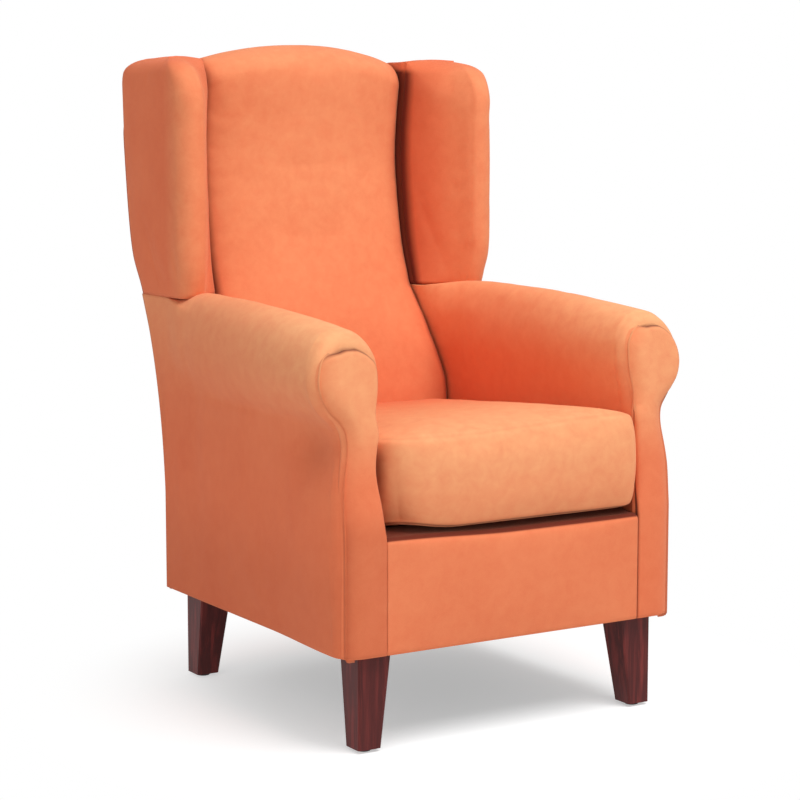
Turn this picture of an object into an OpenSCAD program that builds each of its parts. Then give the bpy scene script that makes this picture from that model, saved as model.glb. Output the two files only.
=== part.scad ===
// Fireside chair: a wing armchair with scrolled arms and a loose seat cushion.
// Millimetres. It faces -Y, +Z is up and the origin is under its middle, on the floor.

/* [Overall] */
// Height of the crown of the back above the floor
overall_h = 1083; // [950:1:1200]
// Width of the seat box over its covers
base_w = 600; // [540:1:700]
// Depth of the seat box over its covers
base_d = 619; // [560:1:700]

/* [Seat] */
// Height of the seat deck, where the loose cushion rests
deck_h = 334; // [310:1:370]
// Clear width between the arms
seat_w = 475; // [430:1:520]
// Thickness of the cushion at its edges
cushion_t = 148; // [110:1:165]
// Rise of the cushion's middle above its edges
cushion_crown = 20; // [5:1:35]
// How far the cushion's sides draw in between its corners
cushion_draw = 6; // [0:1:12]
// Gap between the cushion and each arm
cushion_gap = 1.5; // [0.5:0.1:4]
// Gap between the cushion and the inside back
cushion_rear_gap = 1; // [0.5:0.1:4]

/* [Arms] */
// Height of the arms at the wings
arm_h = 660; // [610:1:700]
// Height of the neck under the arms' scrolls
neck_h = 487; // [450:1:540]
// Width over both scrolls
scroll_w = 692; // [640:1:760]
// How far a scroll leans in over the seat
scroll_lip = 10; // [0:1:20]
// How far the arms drop towards the front
arm_drop = 24; // [0:1:50]
// How far the arms' fronts lean back above the deck
arm_lean = 30; // [0:1:50]
// Set-in of the facing's seam from the scroll's outline
facing_seam = 11; // [6:1:16]

/* [Back] */
// How far the back rakes from the seat box to its top
back_rake = 151; // [100:1:200]
// Width of the inside back between the wings
back_w = 400; // [340:1:440]
// Full depth of the back at its top
back_t = 114; // [90:1:140]
// Forward swell of the inside back
back_swell = 28; // [5:1:45]
// Drop of the back's top edge from its middle to the wings
back_drop = 31; // [10:1:50]
// Height of the round on the back's top edge
back_round = 40; // [20:1:50]

/* [Wings] */
// Height of the wings
wing_h = 1056; // [930:1:1150]
// Reach of the wings in front of the back's top
wing_reach = 247; // [190:1:290]
// Thickness of a wing at its front edge
wing_t = 52; // [40:1:64]
// Radius of a wing's top front corner
wing_corner = 75; // [40:1:110]

/* [Timber] */
// Thickness of the seat rails
rail_t = 25; // [20:1:32]
// Width of the arm posts and the arm rails
arm_post_w = 40; // [30:1:42]
// Depth of an arm post
arm_post_d = 45; // [30:1:60]
// Height of an arm rail
arm_rail_h = 25; // [18:1:30]
// Width of the back posts
back_post_w = 42; // [32:1:48]
// Depth of the back posts
back_post_d = 35; // [28:1:42]
// Thickness of the wing boards
wing_board_t = 18; // [12:1:22]
// Height of the blocks that the legs are fixed under
block_h = 45; // [30:1:60]
// Size of those blocks along each rail
block_leg = 95; // [80:1:120]

/* [Suspension] */
// Wire diameter of the seat springs
wire_d = 3.8; // [3:0.1:4.5]
// Number of seat springs
springs = 5; // [3:1:6]
// Number of waves in each spring
spring_waves = 10; // [8:1:12]
// Width of a spring over its waves
spring_w = 48; // [36:1:60]
// Rise of the springs' arch
spring_arch = 26; // [10:1:30]
// Thickness of the pad between the springs and the deck
deck_pad_t = 38; // [20:1:45]
// Width of the webbing straps of the back
strap_w = 50; // [40:1:60]
// Thickness of the webbing
strap_t = 2; // [1:0.1:3]

/* [Covers] */
// Thickness of the outside arm covers
side_cover_t = 8; // [4:1:12]
// Thickness of the outside back cover
back_cover_t = 6; // [3:1:10]
// Padding in front of the front rail and the arm posts
front_pad_t = 14; // [8:1:20]
// Padding on the inside of the arms
arm_pad_t = 14; // [8:1:20]
// Thickness of the dust cover under the seat
dust_cover_t = 1.2; // [0.8:0.1:2]

/* [Legs] */
// Height of the seat box above the floor
leg_h = 152; // [110:1:190]
// Width of a leg at its top
leg_top = 58; // [48:1:66]
// Width of a leg at its foot
leg_foot = 40; // [30:1:50]
// Set-in of the legs from the sides of the seat box
leg_side_inset = 23; // [14:1:30]
// Set-in of the legs from its front and back
leg_end_inset = 19; // [14:1:26]
// Chamfer along a leg's corners
leg_chamfer = 2.5; // [1:0.5:5]
// Thickness of the steel plate over each leg
plate_t = 3; // [2:0.5:4]
// Diameter of the bolt that holds a leg
bolt_d = 8; // [6:1:10]
// Diameter of a glide
glide_d = 24; // [18:1:30]
// Thickness of a glide
glide_t = 5; // [3:1:7]

/* [Hidden] */
soft_gap = 0.3;
fit_gap = 0.05;
cut = 20;
round_sides = 48;

half_w = base_w / 2;
frame_half = half_w - side_cover_t;
front_y = -base_d / 2;
rear_y = base_d / 2;
frame_front_y = front_y + front_pad_t;
frame_z = leg_h + plate_t;
clip_t = 1.5;
deck_under = deck_h - deck_pad_t;
rail_top = deck_under - spring_arch - wire_d - clip_t;
rail_h = rail_top - frame_z;
seat_half = seat_w / 2;
back_half = back_w / 2;
scroll_half = scroll_w / 2;
wing_seat_drop = 5;
wing_seat_h = arm_h - wing_seat_drop;
row_y = -(rear_y + back_rake + front_y) / 2;

// Heights where the back's surfaces have their lines, so that neighbours meet on the same facets.
low_levels = 3;
seat_levels = 3;
arm_levels = 4;
wing_levels = 9;
function ladder(a, b, n) = [for (i = [0:n - 1]) a + (b - a) * i / n];
levels = concat(
    ladder(leg_h, deck_h, low_levels),
    ladder(deck_h, neck_h, seat_levels),
    ladder(neck_h, wing_seat_h, arm_levels),
    ladder(wing_seat_h, overall_h, wing_levels),
    [overall_h]
);

// A smooth curve through rows of [place, value].
function row_at(rows, t, i = 0) = i >= len(rows) - 2 || t < rows[i + 1][0] ? i : row_at(rows, t, i + 1);
function rise(rows, i, j) = (rows[j][1] - rows[i][1]) / (rows[j][0] - rows[i][0]);
function slope(rows, i) = rise(rows, max(i - 1, 0), min(i + 1, len(rows) - 1));
function curve(rows, t) =
    let (i = row_at(rows, t))
    let (span = rows[i + 1][0] - rows[i][0])
    let (u = min(max((t - rows[i][0]) / span, 0), 1))
    let (a = rows[i][1], b = rows[i + 1][1])
    a + (b - a) * u * u * (3 - 2 * u)
    + span * slope(rows, i) * u * (1 - u) * (1 - u)
    - span * slope(rows, i + 1) * u * u * (1 - u);
function mix(a, b, t) = a + (b - a) * t;
function unit(v) = v / norm(v);
function flipped(list) = [for (i = [len(list) - 1:-1:0]) list[i]];

// The raked line of the outside back, from the seat box up.
rake_shares = [
    [0, 0], [0.16, 0.02], [0.31, 0.11], [0.46, 0.29], [0.55, 0.49],
    [0.65, 0.71], [0.8, 0.91], [0.92, 0.985], [1, 1]
];
function rake_at(z) = back_rake * curve(rake_shares, (z - leg_h) / (overall_h - leg_h));
rear_line = [for (z = levels) [z, rear_y + rake_at(z)]];
function rear_at(z) = lookup(z, rear_line);
post_set = back_cover_t + back_post_d;
function post_front_at(z) = rear_at(z) - post_set;

// Depth of the back along its edges, and how much of the swell there is, from the deck up.
depth_shares = [
    [0, 0.68], [0.16, 0.71], [0.25, 0.71], [0.36, 0.62], [0.46, 0.56], [0.55, 0.58],
    [0.65, 0.63], [0.73, 0.68], [0.83, 0.8], [0.93, 0.96], [1, 1]
];
swell_shares = [[0, 0], [0.16, 0.1], [0.3, 0.5], [0.45, 0.95], [0.6, 1], [0.85, 1], [1, 0.8]];
function up_share(z) = (z - deck_h) / (overall_h - deck_h);
function tuck_at(z) = rear_at(z) - back_t * curve(depth_shares, up_share(z));
swell_power = 2.6;
function swell_at(z, s) = back_swell * curve(swell_shares, up_share(z)) * (1 - pow(abs(s), swell_power));
function inside_back_at(z, s) = tuck_at(z) - swell_at(z, s);
drop_power = 2.4;
function back_top_at(s) = overall_h - back_drop * pow(abs(s), drop_power);

// Half the width between the arms and, above them, the wings.
function between_at(z) = lookup(z, [[neck_h, seat_half], [wing_seat_h, back_half]]);

// The front of the arms leans back above the deck.
function lean_at(z) = lookup(z, [[deck_h, 0], [arm_h, arm_lean]]);

// A closed solid through rings of points, with ends that pair the points across each ring.
module loft(rings) {
    n = len(rings[0]);
    last = (len(rings) - 1) * n;
    sides = [
        for (i = [0:len(rings) - 2])
            for (j = [0:n - 1])
                let (a = i * n + j, b = i * n + (j + 1) % n)
                each [[a, b + n, b], [a, a + n, b + n]]
    ];
    first_end = [for (j = [0:n / 2 - 2]) each [[j, j + 1, n - 2 - j], [j, n - 2 - j, n - 1 - j]]];
    last_end = [for (f = first_end) [f[0] + last, f[2] + last, f[1] + last]];
    polyhedron(points = [for (r = rings) each r], faces = concat(sides, first_end, last_end), convexity = 8);
}

// Side profiles are drawn as [y, z] and stand between two places across the chair.
module across(x0, x1) {
    translate([x0, 0, 0]) rotate([90, 0, 90]) linear_extrude(height = x1 - x0) children();
}

// Front profiles are drawn as [x, z] and stand between two places along the chair.
module along(y0, y1) {
    translate([0, y1, 0]) rotate([90, 0, 0]) linear_extrude(height = y1 - y0) children();
}

module row() {
    translate([0, row_y, 0]) children();
}

module both_sides() {
    children();
    mirror([1, 0, 0]) children();
}

function between_levels(z0, z1) = concat([z0], [for (z = levels) if (z > z0 && z < z1) z], [z1]);

// A band that follows the raked line at two set-ins from it.
module raked_band(z0, z1, set0, set1) {
    zs = between_levels(z0, z1);
    polygon(concat([for (z = zs) [rear_at(z) - set0, z]], [for (z = flipped(zs)) [rear_at(z) - set1, z]]));
}

// Everything behind the raked line at a set-in.
module behind(z0, z1, set) {
    zs = between_levels(z0, z1);
    end_y = rear_y + back_rake + cut;
    polygon(concat([for (z = zs) [rear_at(z) - set, z]], [[end_y, z1], [end_y, z0]]));
}

// Seat box
module front_rail() {
    color("burlywood") row() difference() {
        translate([-frame_half, frame_front_y, frame_z]) cube([2 * frame_half, rail_t, rail_h]);
        plate_screw_places() screw_bore();
    }
}

side_rail_y = frame_front_y + rail_t;
rear_frame_y = rear_at(frame_z) - back_cover_t;

module side_rail() {
    color("burlywood") row() difference() {
        across(frame_half - rail_t, frame_half) polygon(concat(
            [[side_rail_y, rail_top], [side_rail_y, frame_z]],
            [for (z = between_levels(frame_z, rail_top)) [post_front_at(z), z]]
        ));
        plate_screw_places() screw_bore();
    }
}

module side_rail_right() {
    side_rail();
}

module side_rail_left() {
    mirror([1, 0, 0]) side_rail();
}

rear_rail_half = frame_half - back_post_w;

module rear_rail() {
    color("burlywood") row() difference() {
        across(-rear_rail_half, rear_rail_half)
            raked_band(frame_z, rail_top, back_cover_t, back_cover_t + rail_t);
        plate_screw_places() screw_bore();
    }
}

// Legs stand in from the corners of the seat box.
leg_x = half_w - leg_side_inset - leg_top / 2;
leg_front_y = front_y + leg_end_inset + leg_top / 2;
leg_rear_y = rear_y - leg_end_inset - leg_top / 2;
bolt_leg_l = 45;
bolt_block_l = 36;

module bolt_form(up, more) {
    translate([0, 0, leg_h - bolt_leg_l])
        cylinder(d = bolt_d + 2 * more, h = bolt_leg_l + up, $fn = round_sides);
}

module bolt_bore(up) {
    bolt_form(up, fit_gap);
}

module leg_places() {
    both_sides() {
        translate([leg_x, leg_front_y, 0]) children();
        translate([leg_x, leg_rear_y, 0]) children();
    }
}

block_x = frame_half - rail_t;
rear_rail_y = rear_frame_y - rail_t;
post_front_y = rear_frame_y - back_post_d;

module corner_blocks() {
    color("tan") row() difference() {
        translate([0, 0, frame_z]) linear_extrude(height = block_h) both_sides() {
            polygon([
                [block_x, side_rail_y],
                [block_x, side_rail_y + block_leg],
                [block_x - block_leg, side_rail_y]
            ]);
            polygon([
                [block_x, rear_rail_y - block_leg],
                [block_x, post_front_y - soft_gap],
                [rear_rail_half - soft_gap, post_front_y - soft_gap],
                [rear_rail_half - soft_gap, rear_rail_y],
                [block_x - block_leg, rear_rail_y]
            ]);
        }
        leg_places() bolt_bore(bolt_block_l + plate_t);
        plate_screw_places() screw_bore();
    }
}

// Plates with their screws, over the legs
plate_set = 4;
plate_w = leg_top - plate_set;
screw_d = 3.5;
screw_head_d = 7.5;
screw_l = 22;
screw_set = 8;

module plate_screw_places() {
    reach = plate_w / 2 - screw_set;
    leg_places() for (x = [-reach, reach], y = [-reach, reach]) translate([x, y, leg_h]) children();
}

module screw_bore() {
    cylinder(d = screw_d + 2 * fit_gap, h = screw_l + fit_gap, $fn = round_sides);
}

module screw_form(more) {
    head_h = (screw_head_d - screw_d) / 2;
    cylinder(d1 = screw_head_d + 2 * more, d2 = screw_d + 2 * more, h = head_h, $fn = round_sides);
    cylinder(d = screw_d + 2 * more, h = screw_l, $fn = round_sides);
}

module leg_mount_plates() {
    color("silver") row() difference() {
        leg_places() translate([-plate_w / 2, -plate_w / 2, leg_h]) cube([plate_w, plate_w, plate_t]);
        leg_places() bolt_bore(bolt_block_l + plate_t);
        plate_screw_places() screw_form(fit_gap);
    }
}

module leg_plate_screws() {
    color("gold") row() plate_screw_places() screw_form(0);
}

module leg_hanger_bolts() {
    color("gray") row() leg_places() bolt_form(bolt_block_l, 0);
}

nail_d = 3;
nail_l = 16;
glide_edge = 1.5;

// The glides are under the middles of the feet.
foot_out = (leg_top - leg_foot) / 2;

module glide() {
    rotate_extrude($fn = round_sides) polygon([
        [0, 0],
        [glide_d / 2 - glide_edge, 0],
        [glide_d / 2, glide_edge],
        [glide_d / 2, glide_t],
        [nail_d / 2, glide_t],
        [nail_d / 2, glide_t + nail_l],
        [0, glide_t + nail_l]
    ]);
}

module leg_glides() {
    color("dimgray") row() both_sides() {
        translate([leg_x + foot_out, leg_front_y - foot_out, 0]) glide();
        translate([leg_x + foot_out, leg_rear_y + foot_out, 0]) glide();
    }
}

// A leg tapers on its two inner faces only. Its outer corner is at +X and +Y here.
function leg_ring(w, z) =
    let (a = leg_top / 2, b = leg_top / 2 - w, c = leg_chamfer)
    [
        [a, b + c, z], [a, a - c, z], [a - c, a, z], [b + c, a, z],
        [b, a - c, z], [b, b + c, z], [b + c, b, z], [a - c, b, z]
    ];

module leg() {
    color("#4a1f1a") difference() {
        loft([leg_ring(leg_foot, glide_t), leg_ring(leg_top, leg_h)]);
        bolt_bore(cut);
        translate([foot_out, foot_out, 0])
            cylinder(d = nail_d + 2 * fit_gap, h = glide_t + nail_l, $fn = round_sides);
    }
}

module leg_front_right() {
    row() translate([leg_x, leg_front_y, 0]) mirror([0, 1, 0]) leg();
}

module leg_front_left() {
    mirror([1, 0, 0]) leg_front_right();
}

module leg_rear_right() {
    row() translate([leg_x, leg_rear_y, 0]) leg();
}

module leg_rear_left() {
    mirror([1, 0, 0]) leg_rear_right();
}

// Arm frames
post_in_x = frame_half - arm_post_w;
scroll_pad = 24;
arm_rail_top = arm_h - arm_drop - scroll_pad;
arm_rail_z = arm_rail_top - arm_rail_h;
post_tail_y = frame_front_y + arm_post_d;

module arm_post() {
    color("peru") row() difference() {
        across(post_in_x, frame_half) polygon([
            [frame_front_y, frame_z + block_h],
            [frame_front_y, deck_h],
            [frame_front_y + lean_at(arm_rail_z), arm_rail_z],
            [post_tail_y + lean_at(arm_rail_z), arm_rail_z],
            [post_tail_y, deck_h],
            [post_tail_y, frame_z + block_h]
        ]);
        translate([frame_half - rail_t, frame_front_y - cut, frame_z])
            cube([rail_t + cut, arm_post_d + 2 * cut, rail_h]);
        translate([post_in_x - cut, frame_front_y - cut, frame_z])
            cube([arm_post_w + 2 * cut, rail_t + cut, rail_h]);
    }
}

module arm_post_right() {
    arm_post();
}

module arm_post_left() {
    mirror([1, 0, 0]) arm_post();
}

module arm_rail() {
    color("burlywood") row() across(post_in_x, frame_half) polygon(concat(
        [
            [frame_front_y + lean_at(arm_rail_top), arm_rail_top],
            [frame_front_y + lean_at(arm_rail_z), arm_rail_z]
        ],
        [for (z = between_levels(arm_rail_z, arm_rail_top)) [post_front_at(z), z]]
    ));
}

module arm_rail_right() {
    arm_rail();
}

module arm_rail_left() {
    mirror([1, 0, 0]) arm_rail();
}

// Back frame
post_cap = 52;
back_post_top = wing_h - post_cap;

module back_post() {
    color("peru") row() difference() {
        across(rear_rail_half, frame_half) raked_band(frame_z, back_post_top, back_cover_t, post_set);
        plate_screw_places() screw_bore();
    }
}

module back_post_right() {
    back_post();
}

module back_post_left() {
    mirror([1, 0, 0]) back_post();
}

top_rail_h = 62;
top_rail_pad = 30;
arch_steps = 16;
function arch(half, fall) = [
    for (i = [-arch_steps:arch_steps])
        let (x = half * i / arch_steps)
        [x, back_top_at(x / back_half) - fall]
];

module back_top_rail() {
    z0 = back_top_at(1) - top_rail_pad - top_rail_h / 2;
    color("peru") row() intersection() {
        across(-rear_rail_half, rear_rail_half)
            raked_band(z0, overall_h, back_cover_t, back_cover_t + rail_t);
        along(rear_y, rear_y + back_rake + cut) polygon(concat(
            [[rear_rail_half, z0], [-rear_rail_half, z0]],
            arch(rear_rail_half, top_rail_pad)
        ));
    }
}

lower_rail_h = 55;
lower_rail_rise = 30;

module back_lower_rail() {
    z0 = deck_h + lower_rail_rise;
    color("peru") row() across(-rear_rail_half, rear_rail_half)
        raked_band(z0, z0 + lower_rail_h, post_set - rail_t, post_set);
}

// Wing boards stand on the front of the back posts.
board_pad = 20;
board_x = half_w - wing_t / 2 - wing_board_t / 2;
nose_y = rear_y + back_rake - wing_reach;
nose_sweep = 20;
nose_sweep_h = 90;
board_top = wing_h - board_pad;
board_corner = wing_corner - board_pad;
corner_steps = 6;
function round_corner(y, z, r, steps) = [
    for (i = [0:steps])
        let (a = 90 * i / steps)
        [y + r * (1 - cos(a)), z - r * (1 - sin(a))]
];

module wing_board_outline(more) {
    y0 = nose_y + board_pad - more;
    z1 = board_top + more;
    r = board_corner + more;
    zs = between_levels(wing_seat_h, back_post_top);
    polygon(concat(
        [[y0 + nose_sweep, wing_seat_h]],
        [[y0, wing_seat_h + nose_sweep_h]],
        round_corner(y0, z1, r, corner_steps),
        [[post_front_at(back_post_top), z1]],
        [for (z = flipped(zs)) [post_front_at(z), z]]
    ));
}

module wing_board() {
    color("burlywood") row() across(board_x, board_x + wing_board_t) wing_board_outline(0);
}

module wing_board_right() {
    wing_board();
}

module wing_board_left() {
    mirror([1, 0, 0]) wing_board();
}

// Sinuous seat springs run from the front rail to the rear rail.
spring_rings = 8;
wire_sides = 6;
clip_l = 24;
clip_w = 16;
spring_z = rail_top + clip_t + wire_d / 2;
clip_set = 6;
spring_y0 = frame_front_y + clip_set;
spring_y1 = rear_rail_y + rail_t - clip_set;
spring_run = spring_y1 - spring_y0 - 2 * clip_l;
spring_room = rear_rail_half - spring_w;
function spring_x(k) = -spring_room + 2 * spring_room * (k - 1) / (springs - 1);
loop_share = 0.1;
function spring_point(k, i) =
    let (phase = 360 * i / spring_rings)
    let (along_share = i / (spring_rings * spring_waves))
    let (loop = loop_share * spring_run / spring_waves)
    [
        spring_x(k) + (spring_w - wire_d) / 2 * sin(phase),
        spring_y0 + clip_l + spring_run * along_share + loop * sin(2 * phase),
        spring_z + spring_arch * (1 - pow(2 * along_share - 1, 2))
    ];
function spring_path(k) = concat(
    [[spring_x(k), spring_y0, spring_z]],
    [for (i = [0:spring_rings * spring_waves]) spring_point(k, i)],
    [[spring_x(k), spring_y1, spring_z]]
);
function tube_ring(p, t) =
    let (side = unit(cross([0, 0, 1], t)))
    let (up = cross(t, side))
    [
        for (j = [0:wire_sides - 1])
            let (a = 360 * j / wire_sides)
            p + wire_d / 2 * (cos(a) * side + sin(a) * up)
    ];
function tube_rings(path) = [
    for (i = [0:len(path) - 1])
        tube_ring(path[i], unit(path[min(i + 1, len(path) - 1)] - path[max(i - 1, 0)]))
];

module seat_springs() {
    color("slategray") row() for (k = [1:springs]) loft(tube_rings(spring_path(k)));
}

module spring_clip() {
    rotate([90, 0, 0]) linear_extrude(height = clip_l) difference() {
        union() {
            translate([-clip_w / 2, 0]) square([clip_w, clip_t]);
            translate([0, clip_t + wire_d / 2]) circle(d = wire_d + 2 * clip_t, $fn = round_sides);
        }
        translate([0, clip_t + wire_d / 2]) circle(d = wire_d + 2 * fit_gap, $fn = round_sides);
        translate([-clip_w, -clip_w]) square([2 * clip_w, clip_w]);
    }
}

module spring_clips() {
    clip_y = clip_l - wire_d;
    color("gainsboro") row() for (k = [1:springs]) {
        translate([spring_x(k), spring_y0 + clip_y, rail_top]) spring_clip();
        translate([spring_x(k), spring_y1, rail_top]) spring_clip();
    }
}

// Webbing across the back posts, with upright straps behind it
straps = 6;
upright_straps = 3;
strap_half = board_x - soft_gap;
strap_z0 = deck_h + lower_rail_rise + lower_rail_h;
strap_z1 = back_top_at(1) - top_rail_pad - top_rail_h / 2 - strap_w;
function strap_z(k) = strap_z0 + (strap_z1 - strap_z0) * (k - 1) / (straps - 1);

module back_webbing() {
    color("wheat") row() {
        for (k = [1:straps]) across(-strap_half, strap_half)
            raked_band(strap_z(k), strap_z(k) + strap_w, post_set, post_set + strap_t);
        for (k = [-1:upright_straps - 2]) translate([k * strap_w * upright_straps / 2, 0, 0])
            across(-strap_w / 2, strap_w / 2)
                raked_band(strap_z0, strap_z1 + strap_w, post_set - strap_t, post_set);
    }
}

// Front border, wrapped over the edge roll
border_round = 16;
border_flange_t = 6;
border_depth = 76;
border_back_y = front_y + border_depth;
edge_steps = 6;
function border_line(inset, z0) =
    let (r = border_round - inset / 2)
    let (y = front_y + inset)
    let (z = deck_h - inset * border_flange_t / front_pad_t)
    concat(
        [[y, z0]],
        round_corner(y, z, r, edge_steps),
        [[border_back_y, z]]
    );

module front_border() {
    color("coral") row() across(-seat_half, seat_half) polygon(concat(
        border_line(0, frame_z - dust_cover_t),
        flipped(border_line(front_pad_t, frame_z - dust_cover_t))
    ));
}

clip_top = rail_top + 2 * clip_t + wire_d;
roll_back_y = side_rail_y + clip_t;

module front_edge_roll() {
    color("khaki") row() intersection() {
        across(-seat_half, seat_half) polygon(concat(
            border_line(front_pad_t, clip_top),
            [[border_back_y, clip_top]]
        ));
        translate([-half_w, front_y, 0]) cube([base_w, roll_back_y - front_y, deck_h]);
    }
}

module seat_deck_pad() {
    under_flange = deck_h - border_flange_t;
    color("wheat") row() across(-seat_half, seat_half) polygon([
        [border_back_y, deck_h],
        [border_back_y, under_flange],
        [roll_back_y, under_flange],
        [roll_back_y, deck_under],
        [post_front_at(deck_h) - strap_t - soft_gap, deck_under],
        [post_front_at(deck_h) - strap_t - soft_gap, deck_h]
    ]);
}

module bottom_dust_cover() {
    hole_w = plate_w + 2 * soft_gap;
    color("#2a2a2a") row() difference() {
        translate([-frame_half, frame_front_y, frame_z - dust_cover_t])
            cube([2 * frame_half, rear_frame_y - frame_front_y, dust_cover_t]);
        leg_places() translate([0, 0, leg_h]) cube([hole_w, hole_w, 2 * cut], center = true);
    }
}

// The scroll of an arm, as shares across from the seat to the scroll's outside and up from the neck.
// The lip column is a share of how far the scroll leans in over the seat.
inner_shares = [
    [0, 0, 0], [0, 0.22, 0.4], [0, 0.42, 0.9], [0, 0.58, 1], [0, 0.73, 0.8],
    [0.04, 0.86, 0.2], [0.14, 0.94, 0], [0.26, 0.985, 0], [0.4, 1, 0]
];
outer_shares = [
    [0.58, 0], [0.68, 0.09], [0.83, 0.2], [0.95, 0.34], [1, 0.5],
    [0.97, 0.66], [0.88, 0.82], [0.72, 0.94], [0.54, 0.995]
];

// Under a wing the same arm is plain, with a flat top that the wing stands on.
plain_in_shares = [0, 0.2, 0.38, 0.54, 0.68, 0.8, 0.89, 0.95, 1];
plain_out_shares = [0, 0.16, 0.33, 0.5, 0.68, 0.86, 1, 1, 1];
plain_step_shares = [0, 0, 0, 0, 0, 0, 0, 0.33, 0.66];

function scroll_in(top, out_half, i) = [
    mix(seat_half, out_half, inner_shares[i][0]) - scroll_lip * inner_shares[i][2],
    mix(neck_h, top, inner_shares[i][1])
];
function scroll_out(top, out_half, i) =
    let (x = mix(seat_half, out_half, outer_shares[i][0]))
    [
        i == 0 ? half_w : mix(max(x, half_w), x, i / len(outer_shares)),
        mix(neck_h, top, outer_shares[i][1])
    ];
function plain_in(i) =
    let (s = plain_in_shares[i])
    [mix(seat_half, back_half, s), mix(neck_h, wing_seat_h, s)];
function plain_out(i) = [
    mix(half_w, back_half, plain_step_shares[i]),
    mix(neck_h, wing_seat_h, plain_out_shares[i])
];

arm_foot_z = deck_under;
scroll_rear = 14;

// A ring of the arm: up the inside, over, and down the outside. The seam's set-in starts above the neck.
seam_rise = 30;
function seam_at(z) = min(max((z - neck_h) / seam_rise, 0), 1);
function set_in(ring, seam, edge) = [
    for (i = [0:len(ring) - 1])
        let (t = unit(ring[(i + 1) % len(ring)] - ring[(i + len(ring) - 1) % len(ring)]))
        let (d = seam * seam_at(ring[i][1]) + edge)
        ring[i] + d * [t[1], -t[0]]
];
function arm_outline(top, flare, plain, foot_z, gap) =
    let (out_half = mix(half_w + scroll_rear, scroll_half, flare))
    let (last = len(inner_shares) - 1)
    let (inside = [for (i = [0:last]) mix(scroll_in(top, out_half, i), plain_in(i), plain)])
    let (outside = [for (i = [0:last]) mix(scroll_out(top, out_half, i), plain_out(i), plain)])
    concat(
        [for (z = [foot_z, deck_h]) [seat_half + gap, z]],
        inside,
        flipped(outside),
        [for (z = [deck_h, foot_z]) [half_w, z]]
    );
function lean_share(y) = min(max(y / front_y, 0), 1);
function arm_ring(y, outline) = [for (q = outline) [q[0], y + lean_at(q[1]) * lean_share(y), q[1]]];

// Stations along an arm: share of the way from its front to the wing's nose, and share of the seam's set-in.
end_shares = [[0, 1], [0.008, 0.6], [0.022, 0.25], [0.045, 0]];
run_shares = [0.15, 0.35, 0.6, 0.8, 0.92];
turn_shares = [0.3, 0.65, 1];
function arm_top_at(share) = arm_h - arm_drop * pow(1 - share, 2);
arm_start_y = frame_front_y;
arm_run = nose_y - arm_start_y;
function flare_at(share) = 1 - pow(share, 1.5);
function arm_station(share) = arm_outline(arm_top_at(share), flare_at(share), 0, arm_foot_z, 0);
arm_rings = concat(
    [
        for (s = end_shares)
            arm_ring(arm_start_y + arm_run * s[0], set_in(arm_station(s[0]), facing_seam * s[1], 0))
    ],
    [for (s = run_shares) arm_ring(arm_start_y + arm_run * s, arm_station(s))],
    [
        for (s = turn_shares)
            arm_ring(nose_y + nose_sweep * s, arm_outline(arm_h, 0, s, arm_foot_z, 0))
    ],
    [arm_ring(rear_y + back_rake, arm_outline(arm_h, 0, 1, arm_foot_z, 0))]
);

module arm_pad() {
    color("salmon") row() difference() {
        loft(arm_rings);
        across(back_half - cut, scroll_half + cut) behind(leg_h, overall_h, back_cover_t + soft_gap);
        across(back_half - cut, frame_half) behind(leg_h, overall_h, post_set + strap_t + soft_gap);
        across(seat_half + arm_pad_t, frame_half) polygon([
            [frame_front_y - cut, leg_h],
            [frame_front_y - cut, arm_rail_top],
            [rear_y + back_rake, arm_rail_top],
            [rear_y + back_rake, leg_h]
        ]);
        translate([frame_half, front_y - cut, leg_h])
            cube([scroll_half, base_d + back_rake, neck_h - leg_h]);
    }
}

module arm_pad_right() {
    arm_pad();
}

module arm_pad_left() {
    mirror([1, 0, 0]) arm_pad();
}

// Facings close the fronts of the arms, from the seat box's foot to the scroll's seam.
facing_shares = [[0, 0], [0.5, 0], [0.85, 0.25], [1, 0.8]];
facing_edge = 5;
facing_foot_z = frame_z - dust_cover_t;
facing_top = arm_h - arm_drop;
function facing_ring(s) = arm_ring(
    frame_front_y - soft_gap - (front_pad_t - soft_gap) * s[0],
    set_in(arm_outline(facing_top, 1, 0, facing_foot_z, soft_gap), facing_seam, facing_edge * s[1])
);

module arm_facing() {
    color("lightsalmon") row() loft([for (s = flipped(facing_shares)) facing_ring(s)]);
}

module arm_facing_right() {
    arm_facing();
}

module arm_facing_left() {
    mirror([1, 0, 0]) arm_facing();
}

module outside_arm() {
    z0 = frame_z - dust_cover_t;
    z1 = neck_h - soft_gap;
    color("darksalmon") row() across(frame_half, half_w) polygon(concat(
        [[frame_front_y + lean_at(z1), z1], [frame_front_y, deck_h], [frame_front_y, z0]],
        [for (z = between_levels(z0, z1)) [rear_at(z) - back_cover_t - soft_gap, z]]
    ));
}

module outside_arm_right() {
    outside_arm();
}

module outside_arm_left() {
    mirror([1, 0, 0]) outside_arm();
}

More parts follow.
